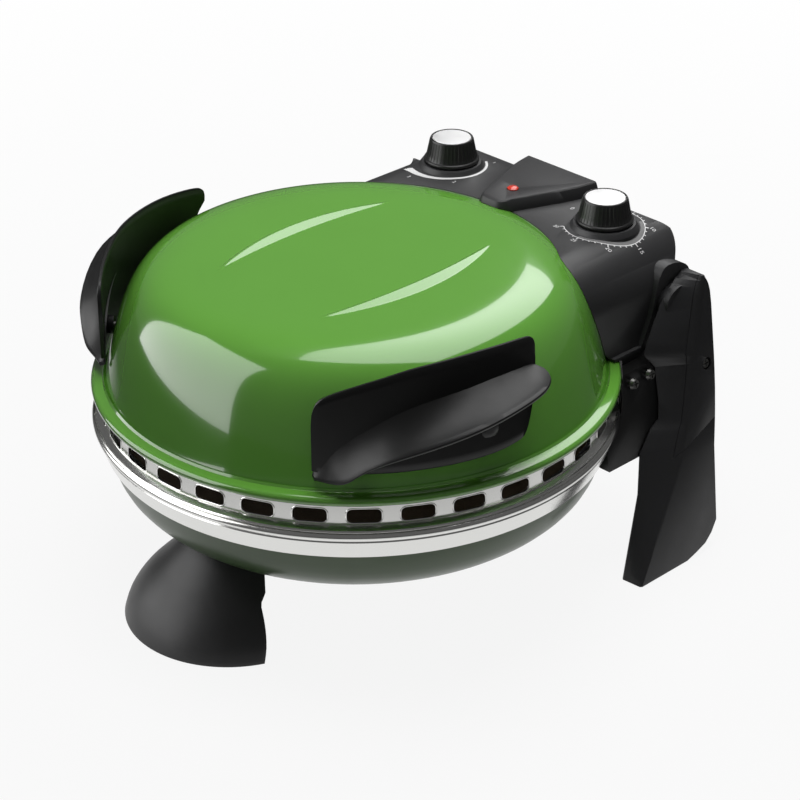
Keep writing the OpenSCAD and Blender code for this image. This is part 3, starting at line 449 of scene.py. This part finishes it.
# %% [markdown]
# ## Steel rings
# Two polished rings close on each other. The pan's ring, a flat cone under a round
# bead, is spun at many sides, because mirror-like steel shows every flat. The lid's
# slotted band over a thin flange keeps its CAD shape, and gets its slot lips below.

# %% Pan ring
RING_SIDES = 360
ring_profile = ([(164.6, 92.7), (165.1, 92.9), (169.4, 105.2), (169.0, 106.2), (169.2, 107.0)]
                + arc(168.2, 109.0, 2.8, -40, 62, 8)
                + [(168.9, 111.6), (160.0, 111.6), (160.0, 110.4), (168.2, 110.4),
                   (168.2, 107.0), (163.4, 92.7)])
spun("pan_ring", ring_profile, RING_SIDES, "polished_steel", "base", ("base_ring",),
     SMOOTH_RING)

# %% [markdown]
# ## Repeats round an axis
# Slot lips and knob ribs repeat round an axis. One Geometry Nodes tree does them
# all: a ring of points, the piece placed on each point and turned with it, and
# everything made real and given its finish at the end.

# %% Ring tree
def ring_tree():
    tree = bpy.data.node_groups.new("around_axis", "GeometryNodeTree")
    face = tree.interface
    face.new_socket("Geometry", in_out="OUTPUT", socket_type="NodeSocketGeometry")
    for name, kind in (("Part", "Object"), ("Count", "Int"), ("First Angle", "Float"),
                       ("Step", "Float"), ("Centre", "Vector"), ("Material", "Material")):
        face.new_socket(name, in_out="INPUT", socket_type="NodeSocket" + kind)
    group_in = node(tree, "NodeGroupInput")
    group_out = node(tree, "NodeGroupOutput")
    line = node(tree, "GeometryNodeMeshLine")
    line.inputs["Offset"].default_value = (0, 0, 0)
    index = node(tree, "GeometryNodeInputIndex")
    turned = node(tree, "ShaderNodeMath", operation="MULTIPLY_ADD")
    euler = node(tree, "ShaderNodeCombineXYZ")
    info = node(tree, "GeometryNodeObjectInfo")
    place = node(tree, "GeometryNodeInstanceOnPoints")
    real = node(tree, "GeometryNodeRealizeInstances")
    move = node(tree, "GeometryNodeTransform")
    paint = node(tree, "GeometryNodeSetMaterial")
    link = tree.links.new
    link(group_in.outputs["Count"], line.inputs["Count"])
    link(index.outputs["Index"], turned.inputs[0])
    link(group_in.outputs["Step"], turned.inputs[1])
    link(group_in.outputs["First Angle"], turned.inputs[2])
    link(turned.outputs[0], euler.inputs["Z"])
    link(group_in.outputs["Part"], info.inputs["Object"])
    link(line.outputs["Mesh"], place.inputs["Points"])
    link(info.outputs["Geometry"], place.inputs["Instance"])
    link(euler.outputs["Vector"], place.inputs["Rotation"])
    link(place.outputs["Instances"], move.inputs["Geometry"])
    link(group_in.outputs["Centre"], move.inputs["Translation"])
    link(move.outputs["Geometry"], real.inputs["Geometry"])
    link(real.outputs["Geometry"], paint.inputs["Geometry"])
    link(group_in.outputs["Material"], paint.inputs["Material"])
    link(paint.outputs["Geometry"], group_out.inputs["Geometry"])
    return tree


AROUND = ring_tree()


def around(name, verts, faces, count, first, step, centre, slot, body, smooth=SMOOTH):
    """A small part, drawn in millimetres about its own axis, repeated round it."""
    seed = bpy.data.meshes.new(name + "_seed")
    seed.from_pydata([(x * MM, y * MM, z * MM) for x, y, z in verts], [], faces)
    part = added(name + "_seed", seed)
    host = added(name, bpy.data.meshes.new(name))
    run = host.modifiers.new("around", "NODES")
    run.node_group = AROUND
    values = {"Part": part, "Count": count, "First Angle": math.radians(first),
              "Step": math.radians(step), "Material": FINISH[slot],
              "Centre": (centre[0] * MM, (centre[1] + PAN_Y) * MM, centre[2] * MM)}
    for item in AROUND.interface.items_tree:
        if item.in_out == "INPUT":
            run[item.identifier] = values[item.name]
    apply_modifiers(host)
    bpy.data.objects.remove(part)
    return settle(host, slot, body, (), smooth)


# %% [markdown]
# ## Slot lips
# The lid's band is punched with 32 oblong slots. Punching leaves a turned lip round
# each slot, and that thin bright edge is what the eye sees. One lip is a closed
# strip round the slot's outline, bent to the band, and the ring tree repeats it.

# %% Slot lips
BAND_R, SLOTS, FIRST_SLOT = 165.0, 32, -109.4
SLOT_L, SLOT_H, SLOT_CORNER, SLOT_MID = 21.0, 9.5, 3.4, 121.4
# Section of the lip: how far outside the slot, and how far out from the band.
LIP_SECTION = ((-0.12, -0.7), (-0.12, 0.15), (0.15, 0.35),
               (0.55, 0.3), (0.8, 0.02), (0.5, -0.7))


def slot_outline(grow, n=6):
    hx, hz, c = SLOT_L / 2 + grow, SLOT_H / 2 + grow, SLOT_CORNER + grow
    pts = []
    for sx, sz, a0 in ((1, 1, 0), (-1, 1, 90), (-1, -1, 180), (1, -1, 270)):
        pts += arc(sx * (hx - c), sz * (hz - c), c, a0, a0 + 90, n)
    return pts


lip_rings = [[((BAND_R + out) * math.cos(s / BAND_R), (BAND_R + out) * math.sin(s / BAND_R), z)
              for s, z in slot_outline(grow)] for grow, out in LIP_SECTION]
slot_lips = around("slot_lips", [p for ring in lip_rings for p in ring],
                   tube_faces(len(lip_rings[0]), len(lip_rings), True),
                   SLOTS, FIRST_SLOT, 360 / SLOTS, (0, 0, SLOT_MID),
                   "polished_steel", "lid", SMOOTH_TUBE)
print("slot lips:", len(slot_lips.data.polygons), "faces")

# %% [markdown]
# ## Grips
# Each grip is a thin plate that stands along the lid's side, with a fin springing
# from it. The fin starts nearly upright at the front and turns outwards towards the
# back, so it is skinned through sections that turn along the way. A smooth curve
# runs through a few stations of each edge.

# %% Curves through stations
CURVE_STEPS = 8


def through(points, steps):
    """Catmull-Rom curve through points of any dimension."""
    p = [np.array(q, float) for q in points]
    out = []
    for i in range(len(p) - 1):
        a, b = p[max(i - 1, 0)], p[i]
        c, d = p[i + 1], p[min(i + 2, len(p) - 1)]
        for k in range(steps):
            t = k / steps
            out.append(0.5 * (2 * b + (c - a) * t + (2 * a - 5 * b + 4 * c - d) * t * t
                              + (3 * b - a - 3 * c + d) * t ** 3))
    return out + [p[-1]]


def resample(curve, count):
    """Points at even parts of the curve's number of steps."""
    at = np.linspace(0, len(curve) - 1, count)
    curve = np.array(curve)
    low = np.floor(at).astype(int).clip(0, len(curve) - 2)
    return curve[low] + (at - low)[:, None] * (curve[low + 1] - curve[low])


def edge_curve(stations, count):
    return resample(through(stations, CURVE_STEPS), count)


# %% Grip stations
# Angle round the lid, height above the ring's crease, and how far the edge lies
# inside the plate's radius: in millimetres for the first three edges, in parts of
# the fin's reach for its outer edge, where a minus sign means outside.
PLATE_TOP = [(-52.7, 74, 0), (-52.4, 82, 0), (-51.4, 88.5, 0), (-49.3, 92.5, 0.6),
             (-45, 97, 1.4), (-38, 102.5, 2.8), (-29.7, 107, 4.6), (-16, 108.4, 8),
             (-3, 106, 10.6), (0.6, 102.5, 11), (1.0, 95, 10.6)]
PLATE_LOW = [(-52.7, 43, 0), (-52.4, 42.4, 0), (-51.4, 42, 0), (-49.3, 41.6, 0),
             (-45, 41.4, 0), (-38, 41.3, 0), (-29.7, 41.4, 0), (-16, 42, 0),
             (-8, 44.4, 0), (-4.6, 50, 0.4), (-1.6, 76, 3)]
FIN_IN = [(-52.6, 41, 0), (-50.4, 52, 0), (-46.9, 63, 0.6), (-40, 74.5, 1.2),
          (-30.5, 84.4, 2.2), (-15.5, 89, 4.5), (-9, 89.6, 5.6), (-5, 89.4, 6.4),
          (-2.4, 89, 7), (-1, 88.5, 7.4), (-0.4, 88, 7.6)]
FIN_OUT = [(-52, 39.4, -0.06), (-48.6, 38.6, -0.2), (-45.4, 42.5, -0.46), (-41.3, 53, -0.64),
           (-35.5, 62, -0.8), (-22, 75.5, -0.99), (-12, 82, -0.86), (-6, 85.2, -0.72),
           (-2.6, 86.6, -0.5), (-0.8, 87.2, -0.22), (-0.1, 87.6, 0.02)]
CREASE_Z, PLATE_R, HANDLE_T, REACH = 107, DOME_R + 0.9, 2.6, 24.0
PLATE_SECTIONS, PLATE_ROWS, EDGE_ROUND = 60, 14, 0.6
PLATE_FROM, PLATE_TO = 0.012, 0.985       # shares of the height where the flat faces end
FIN_SECTIONS, FIN_ROWS, FIN_ROOT = 48, 9, 1.5
SAG_LIMIT, SAG_SHARE, BEAD = 1.4, 0.07, 0.7
GRIP_SCREWS = [(-14, 58), (-42, 52)]      # angle, height above the crease
# Profile of the posts behind the plate: radius, distance from the pan's axis.
POST = ((6.0, DOME_R - 6), (6.0, DOME_R - 1.2), (5.4, DOME_R - 0.6), (2.0, DOME_R - 0.5))
POST_SIDES = 24


def on_lid(a, r, h):
    a = math.radians(a)
    return np.array((r * math.cos(a), r * math.sin(a), CREASE_Z + h))


def plate_ring(low, top):
    """Section of the plate: a thin upright strip with a rounded upper edge."""
    a0, h0, i0 = low
    a1, h1, i1 = top

    def strip(r, start, end):
        return [on_lid(a0 + (a1 - a0) * t, r - (i0 + (i1 - i0) * t), h0 + (h1 - h0) * t)
                for t in np.linspace(start, end, PLATE_ROWS)]

    outer = strip(PLATE_R, PLATE_FROM, PLATE_TO)
    inner = strip(PLATE_R - HANDLE_T, PLATE_TO, PLATE_FROM)
    near, far = PLATE_R - EDGE_ROUND, PLATE_R - HANDLE_T + EDGE_ROUND
    tip = [on_lid(a1, near - i1, h1), on_lid(a1, far - i1, h1)]
    foot = [on_lid(a0, far - i0, h0), on_lid(a0, near - i0, h0)]
    return outer + tip + inner + foot


def fin_ring(a, b, share):
    """Section of the fin, slightly hollow above, with a bead along its edge."""
    p = on_lid(a[0], PLATE_R - a[2] - FIN_ROOT, a[1])
    q = on_lid(b[0], PLATE_R - REACH * b[2], b[1])
    along = q - p
    span = np.linalg.norm(along)
    along = along / max(span, 1e-6)
    down = np.array((0, 0, -1.0))
    down = down - along * down.dot(along)
    down = down / np.linalg.norm(down)
    sag = min(SAG_LIMIT, span * SAG_SHARE) * 4 * share * (1 - share)
    upper = [p + along * span * t + down * sag * 4 * t * (1 - t)
             for t in np.linspace(0, 1, FIN_ROWS)]
    bead = [q + along * BEAD * math.sin(math.radians(w)) + down * HANDLE_T * 0.5
            * (1 - math.cos(math.radians(w))) for w in (40, 80, 120, 150)]
    lower = [v + down * HANDLE_T for v in upper[::-1]]
    return upper + bead + lower


def grip_post(angle, h):
    """Round post that takes a screw, from inside the lid's wall to behind the plate."""
    a = math.radians(angle)
    out = np.array((math.cos(a), math.sin(a), 0))
    along = np.array((-math.sin(a), math.cos(a), 0))
    rings = []
    for r, x in POST:
        rings.append([out * x + np.array((0, 0, CREASE_Z + h))
                      + r * (math.cos(w) * along + math.sin(w) * np.array((0, 0, 1)))
                      for w in circle(POST_SIDES)])
    return skin(rings)


def grip(name, side, stands_for):
    low, top = edge_curve(PLATE_LOW, PLATE_SECTIONS), edge_curve(PLATE_TOP, PLATE_SECTIONS)
    near, far = edge_curve(FIN_IN, FIN_SECTIONS), edge_curve(FIN_OUT, FIN_SECTIONS)
    parts = [skin([plate_ring(u, v) for u, v in zip(low, top)]),
             skin([fin_ring(u, v, i / (FIN_SECTIONS - 1))
                   for i, (u, v) in enumerate(zip(near, far))])]
    parts += [grip_post(angle, h) for angle, h in GRIP_SCREWS]
    verts, faces = [], []
    for points, links in parts:
        faces += [tuple(i + len(verts) for i in face) for face in links]
        verts += points
    verts = [(side * x, y, z) for x, y, z in verts]
    if side < 0:
        faces = [face[::-1] for face in faces]
    return piece(name, verts, faces, "handle_plastic", "lid", (stands_for,), SMOOTH_GRIP)


grips = [grip("right_grip", 1, "right_handle"), grip("left_grip", -1, "left_handle")]
print("grips:", [len(g.data.polygons) for g in grips])

# %% [markdown]
# ## Knobs
# A knob is a turned plug with a foot flange, a tapered grip and a rim that frames
# the metal cap. Fine ribs on the grip keep fingers from slipping: one rib is drawn
# and the ring tree repeats it. A bright line down one side shows where it points.

# %% Knob body, ribs, pointer and cap
PLATE_Z, KNOB_X, KNOB_Y, KNOB_D, KNOB_H = 206.3, 70.0, 157.0, 38.0, 17.0
KNOB_Z = PLATE_Z + 3.3
KNOB_SIDES, RIBS = 96, 40
BOX_FACES = [(0, 1, 5, 4), (1, 2, 6, 5), (2, 3, 7, 6), (3, 0, 4, 7), (0, 3, 2, 1), (4, 5, 6, 7)]


def knob(name, side, body, nodes, pointing):
    r, z = KNOB_D / 2, KNOB_Z
    waist, waist_z, top, rim = r - 1.5, z + 3.2, r - 4.4, z + KNOB_H
    at = (side * KNOB_X, KNOB_Y)
    profile = ([(0, z), (r - 1.2, z), (r - 0.5, z + 0.2), (r, z + 0.8), (r, z + 2.0),
                (r - 0.3, z + 2.5), (r - 1.1, z + 2.8), (waist, waist_z)]
               + [(waist - (waist - top - 0.3) * t, waist_z + (KNOB_H - 4.6) * t)
                  for t in (0.25, 0.5, 0.75, 1.0)]
               + [(top + 0.1, rim - 0.6), (top - 0.2, rim - 0.15), (top - 0.6, rim),
                  (top - 1.0, rim - 0.1), (top - 1.2, rim - 0.5), (top - 1.2, rim - 1.2),
                  (0, rim - 1.2)])
    spun(name, profile, KNOB_SIDES, "knob_plastic", body, (nodes[0],), at=at)
    rib = [(u + out, half, h) for u, h in ((waist, waist_z), (top + 0.35, rim - 1.4))
           for out, half in ((-0.3, -0.75), (0.14, -0.4), (0.14, 0.4), (-0.3, 0.75))]
    around(name + "_ribs", rib, BOX_FACES, RIBS, 0, 360 / RIBS, (*at, 0), "knob_plastic", body)
    bar = [(u + out, half, h) for u, h in ((r - 1.8, z + 3.4), (top + 0.1, rim - 0.8))
           for out, half in ((0, -0.7), (0.5, -0.7), (0.5, 0.7), (0, 0.7))]
    around(name + "_pointer", bar, BOX_FACES, 1, pointing, 0, (*at, 0), "silver_cap", body)
    c, cz = top - 1.25, rim - 1.0
    cap = [(0, cz), (c, cz), (c, cz + 0.35), (c - 0.35, cz + 0.75)]
    cap += [(c * t, cz + 0.75 + 0.22 * (1 - t * t)) for t in (0.85, 0.6, 0.4, 0.2, 0.0)]
    spun(name + "_face", cap, KNOB_SIDES, "silver_cap", body, (nodes[1],), at=at)


knob("left_knob", -1, "thermostat_dial", ("thermostat_knob", "thermostat_cap"), pointing=140)
knob("right_knob", 1, "timer_dial", ("timer_knob", "timer_cap"), pointing=180)

# %% [markdown]
# ## Dial prints
# The marks round the dials are ink on the housing, so they are flat strips a
# twentieth of a millimetre above it. A small function gives the housing's height,
# which lets the strips run over its rounded edge. The numbers are plain figures.
# Ink has no slot of its own: the prints take the slot of the pale plastic, and
# carry one of the two inks as their material.

# %% Print helpers
HOUSE_HW, HOUSE_ROUND, HOUSE_REAR, REAR_ROUND = 114.0, 34.0, 193.0, 8.0
INK_TOP, INK_T, FIGURE_T, FIGURE_MERGE = 0.05, 0.04, 0.02, 1e-7
INK_SLOT = "terminal_plastic"
INK = plastic("dial_ink", (0.52, 0.52, 0.52), (0.62, 0.62, 0.62), rough=0.5, grain=0.02)
DARK_INK = plastic("dial_grey", (0.11, 0.11, 0.11), (0.14, 0.14, 0.14), rough=0.5, grain=0.02)


def drop(past, radius):
    """How far a rounded edge has fallen at a distance past its start."""
    return radius - math.sqrt(max(radius ** 2 - past ** 2, 0)) if past > 0 else 0


def plate_height(x, y):
    z = PLATE_Z - drop(abs(x) - (HOUSE_HW - HOUSE_ROUND), HOUSE_ROUND)
    return z - drop(y - (HOUSE_REAR - REAR_ROUND), REAR_ROUND)


def print_arc(name, centre, a0, a1, inner, outer, ink=INK):
    """Flat strip between two radii, each a function of the share of the way."""
    steps = max(int(abs(a1 - a0) / 2), 1)
    verts, faces = [], []
    for i in range(steps + 1):
        t = i / steps
        a = math.radians(a0 + (a1 - a0) * t)
        for r in (inner(t), outer(t)):
            x, y = centre[0] + r * math.cos(a), centre[1] + r * math.sin(a)
            verts.append((x, y, plate_height(x, y) + INK_TOP))
    for i in range(steps):
        faces.append((2 * i, 2 * i + 1, 2 * i + 3, 2 * i + 2))
    n = len(verts)
    verts += [(x, y, z - INK_T) for x, y, z in verts]
    faces += [tuple(v + n for v in face)[::-1] for face in faces]
    rim = list(range(0, n, 2)) + list(range(n - 1, 0, -2))
    faces += [(rim[i], rim[(i + 1) % n], rim[(i + 1) % n] + n, rim[i] + n) for i in range(n)]
    return piece(name, verts, faces, INK_SLOT, "lid", material=ink)


def print_number(name, text, centre, angle, radius, size):
    curve = bpy.data.curves.new(name, "FONT")
    curve.body = text
    curve.size = size * MM
    curve.align_x, curve.align_y = "CENTER", "CENTER"
    curve.extrude = FIGURE_T * MM
    obj = added(name + "_text", curve)
    depsgraph = bpy.context.evaluated_depsgraph_get()
    mesh = bpy.data.meshes.new_from_object(obj.evaluated_get(depsgraph))
    bpy.data.objects.remove(obj)
    a = math.radians(angle)
    x, y = centre[0] + radius * math.cos(a), centre[1] + radius * math.sin(a)
    for v in mesh.vertices:
        px, py = x + v.co.x / MM, y + v.co.y / MM
        v.co = (px * MM, (py + PAN_Y) * MM, (plate_height(px, py) + INK_TOP) * MM + v.co.z)
    return settle(added(name, mesh), INK_SLOT, "lid", (), SMOOTH_FIGURE, INK, FIGURE_MERGE)


# %% Left dial: a wedge that swells with the heat
LEFT = (-KNOB_X, KNOB_Y)
WEDGE_FROM, WEDGE_TO, FIGURE = 237, 416, 4.2
HEAT_FIGURES = (("3", 262, 36.5), ("2", 318, 30.5), ("1", 50, 29.5))   # text, angle, radius


def narrowed(t):
    """How far the wedge has narrowed; it is done well before its thin end."""
    return min(t * 2.2, 1)


print_arc("heat_wedge", LEFT, WEDGE_FROM, WEDGE_TO, lambda t: 27.6 - 4.2 * narrowed(t),
          lambda t: 33.8 - 7.4 * narrowed(t) ** 0.8 - 1.4 * t)
for i, (text, angle, r) in enumerate(HEAT_FIGURES):
    print_number(f"heat_figure_{i + 1}", text, LEFT, angle, r, FIGURE)

# %% Right dial: a mark for each minute and a figure for every fifth
RIGHT = (KNOB_X, KNOB_Y)
SCALE_FROM, SCALE_TO, MINUTES = 229, 448, 25
SWEEP = SCALE_TO - SCALE_FROM
MARK_R, MARK_HALF, LONG_MARK, SHORT_MARK, FIGURE_R = 26.7, 0.8, 2.4, 1.3, 31.6


def steady(r):
    """The same radius all the way."""
    return lambda t: r


print_arc("minute_line", RIGHT, SCALE_FROM, SCALE_TO, steady(26.3), steady(26.9))
print_arc("minute_shade", RIGHT, 270, 420, steady(23.6), steady(26.2), DARK_INK)
for i in range(MINUTES + 1):
    a = SCALE_FROM + SWEEP * i / MINUTES
    length = LONG_MARK if i % 5 == 0 else SHORT_MARK
    print_arc(f"minute_mark_{i:02d}", RIGHT, a - MARK_HALF, a + MARK_HALF,
              steady(MARK_R), steady(MARK_R + length))
for i, text in enumerate(("5", "10", "15", "20", "25", "30")):
    print_number(f"minute_figure_{text}", text, RIGHT, SCALE_TO - SWEEP * i * 5 / MINUTES,
                 FIGURE_R, FIGURE)
print_number("minute_figure_0", "0", RIGHT, 172, 32.6, 5.0)

# %% [markdown]
# ## Heating elements
# The heaters are one steel tube each, bent twice round the chamber. The tube is
# swept along its route with a round section and dulled by heat.

# %% Element route
TUBE_R, TUBE_SIDES = 3.4, 14
OUTER_LOOP, INNER_LOOP, BEND_R = 118.0, 66.0, 9.0
TAIL_X, LOOP_END = 10.0, -72.0            # half the gap of the tails; angle of the hairpin


def polar(r, a):
    return np.array((r * math.cos(math.radians(a)), r * math.sin(math.radians(a))))


def bend(centre, r, a0, a1, n):
    return [np.array(centre) + polar(r, a0 + (a1 - a0) * i / n) for i in range(n + 1)]


def element_route(tail_y):
    """One half from the tail inwards, then the other half, which mirrors it."""
    cx = TAIL_X + BEND_R
    cy = math.sqrt((OUTER_LOOP + BEND_R) ** 2 - cx ** 2)
    tail_a = math.degrees(math.atan2(cy, cx))
    half = [np.array((TAIL_X, tail_y))]
    half += bend((cx, cy), BEND_R, 180, 180 + tail_a, 10)
    half += bend((0, 0), OUTER_LOOP, tail_a - 3, LOOP_END + 3, 60)
    half += bend(polar(OUTER_LOOP - BEND_R, LOOP_END), BEND_R, LOOP_END, LOOP_END - 90, 8)
    half += bend(polar(INNER_LOOP + BEND_R, LOOP_END), BEND_R, LOOP_END - 90, LOOP_END - 180, 8)
    half += bend((0, 0), INNER_LOOP, LOOP_END + 5, 88, 36)
    return half + [p * np.array((-1, 1)) for p in half[::-1]]


def element(name, body, stands_for, z, tail_y):
    route = element_route(tail_y)
    rings = []
    for i, p in enumerate(route):
        d = route[min(i + 1, len(route) - 1)] - route[max(i - 1, 0)]
        d = d / np.linalg.norm(d)
        rings.append([(p[0] + TUBE_R * math.cos(w) * d[1], p[1] - TUBE_R * math.cos(w) * d[0],
                       z + TUBE_R * math.sin(w)) for w in circle(TUBE_SIDES)])
    verts, faces = skin(rings)
    return piece(name, verts, faces, "element_steel", body, (stands_for,), SMOOTH_TUBE)


element("upper_heater", "lid", "upper_element", z=160.0, tail_y=179.0)
element("lower_heater", "base", "lower_element", z=80.6, tail_y=152.4)

# %% [markdown]
# ## Moulded pieces
# The housing, legs, foot and brackets keep their CAD shape. A moulded part has no
# knife edges, so each is a copy of its node with a small bevel that catches light.
# Turned and pressed pieces are copied without a bevel, for their smooth shading.

# %% Moulded pieces
for name, width in (("control_housing", 0.9), ("right_leg", 1.0), ("left_leg", 1.0),
                    ("right_leg_cover", 0.5), ("left_leg_cover", 0.5),
                    ("front_foot", 0.8), ("right_hinge_bracket", 0.8),
                    ("left_hinge_bracket", 0.8), ("rear_cover", 0.3)):
    made = softened(name, name + "_moulding", width)
    print(name, len(made.data.polygons), "faces")

# %% Plain copies with smooth shading
for name in ("base_pan", "base_reflector", "vent_band", "lid_reflector", "baking_stone",
             "pilot_lens", "cord_bush", "foot_pads", "hinge_pins", "hinge_bushes",
             "thermostat_spindle", "timer_spindle", "front_foot_screws", "leg_screws",
             "bracket_screws", "handle_screws", "housing_screws", "rear_cover_screws"):
    softened(name, name + "_finish", 0)

# %% [markdown]
# ## Floor and light
# Each kind of ray meets its own floor and its own room. The camera sees a white
# sweep with a faint shadow under the part. Mirrors see a floor that is bright near
# the part and dark further out, as a table in a dark studio is. Two large soft
# boxes, one at the front left and one high behind, draw the pale windows on the
# lid; a third box overhead lights matt faces only.

# %% Seen by one kind of ray
def seen_by(tree, path, ray, before, glow, share=None):
    """A glow that one kind of ray meets, in full or in part, instead of what was before."""
    mix = node(tree, "ShaderNodeMixShader")
    fac = path.outputs[ray]
    if share is not None:
        both = node(tree, "ShaderNodeMath", operation="MULTIPLY")
        tree.links.new(fac, both.inputs[0])
        tree.links.new(share, both.inputs[1])
        fac = both.outputs[0]
    tree.links.new(fac, mix.inputs["Fac"])
    tree.links.new(before, mix.inputs[1])
    tree.links.new(glow.outputs[0], mix.inputs[2])
    return mix.outputs[0]


# %% Floor
FLOOR_HALF, FLOOR_GREY, FLOOR_ROUGH = 6.0, (0.42, 0.42, 0.42), 0.9
# Value near the part, value far from it, and the two distances in metres.
SHINE = (0.9, 0.05, 0.27, 0.56)           # brightness in mirrors
VEIL = (0.9, 1.0, 0.3, 1.2)               # share of plain white that the camera sees


def floor():
    mesh = bpy.data.meshes.new("floor")
    s = FLOOR_HALF
    mesh.from_pydata([(-s, -s, 0), (s, -s, 0), (s, s, 0), (-s, s, 0)], [], [(0, 1, 2, 3)])
    obj = added("floor", mesh)
    mat, tree, bsdf = new_material("floor", FLOOR_GREY, FLOOR_ROUGH)
    path = node(tree, "ShaderNodeLightPath")
    place = node(tree, "ShaderNodeTexCoord")
    far = node(tree, "ShaderNodeVectorMath", operation="LENGTH")
    tree.links.new(place.outputs["Object"], far.inputs[0])
    white, bright, clear = [node(tree, "ShaderNodeEmission", Strength=1.0) for _ in range(3)]
    tree.links.new(spread(tree, far.outputs["Value"], *SHINE), bright.inputs["Strength"])
    veil = spread(tree, far.outputs["Value"], *VEIL)
    seen = seen_by(tree, path, "Is Camera Ray", bsdf.outputs[0], white, veil)
    seen = seen_by(tree, path, "Is Glossy Ray", seen, bright)
    seen = seen_by(tree, path, "Is Transmission Ray", seen, clear)
    tree.links.new(seen, tree.nodes["Material Output"].inputs["Surface"])
    mesh.materials.append(mat)


floor()


# %% Soft boxes
def soft_box(name, at, towards, size, size_y, radiance, turn=0.0, seen="both"):
    """Rectangular light of a given brightness.

    Reflections see it ("mirror"), or matt faces do ("matt"), or both.
    """
    light = bpy.data.lights.new(name, "AREA")
    light.shape = "RECTANGLE"
    light.size, light.size_y = size, size_y
    light.energy = radiance * math.pi * size * size_y
    obj = added(name, light)
    facing = Vector(towards).to_track_quat("-Z", "Y").to_matrix().to_4x4()
    obj.matrix_world = (Matrix.Translation(at) @ facing
                        @ Matrix.Rotation(math.radians(turn), 4, "Z"))
    obj.visible_glossy = seen != "matt"
    obj.visible_diffuse = seen != "mirror"


soft_box("box_left", at=(-1.31, -1.51, 1.45), towards=(0.656, 0.755, 0),
         size=2.5, size_y=2.8, radiance=2.8, seen="mirror")
soft_box("box_back", at=(-0.57, 1.43, 1.75), towards=(0, 0, -1),
         size=1.24, size_y=3.36, radiance=2.7, turn=30)
soft_box("fill", at=(-0.3, 0.1, 2.2), towards=(0, 0, -1),
         size=1.4, size_y=1.4, radiance=6.2, seen="matt")

# %% World
WHITE, DIM_ROOM, BRIGHT_ROOM = (1, 1, 1, 1), 0.12, 1.0
world = bpy.data.worlds.new("studio")
bpy.context.scene.world = world
world.use_nodes = True
tree = world.node_tree
path = node(tree, "ShaderNodeLightPath")
room = tree.nodes["Background"]
room.inputs["Color"].default_value = WHITE
room.inputs["Strength"].default_value = DIM_ROOM
seen = room.outputs[0]
for ray, strength in (("Is Glossy Ray", DIM_ROOM), ("Is Transmission Ray", BRIGHT_ROOM),
                      ("Is Camera Ray", BRIGHT_ROOM)):
    glow = node(tree, "ShaderNodeBackground", Color=WHITE, Strength=strength)
    seen = seen_by(tree, path, ray, seen, glow)
tree.links.new(seen, tree.nodes["World Output"].inputs["Surface"])
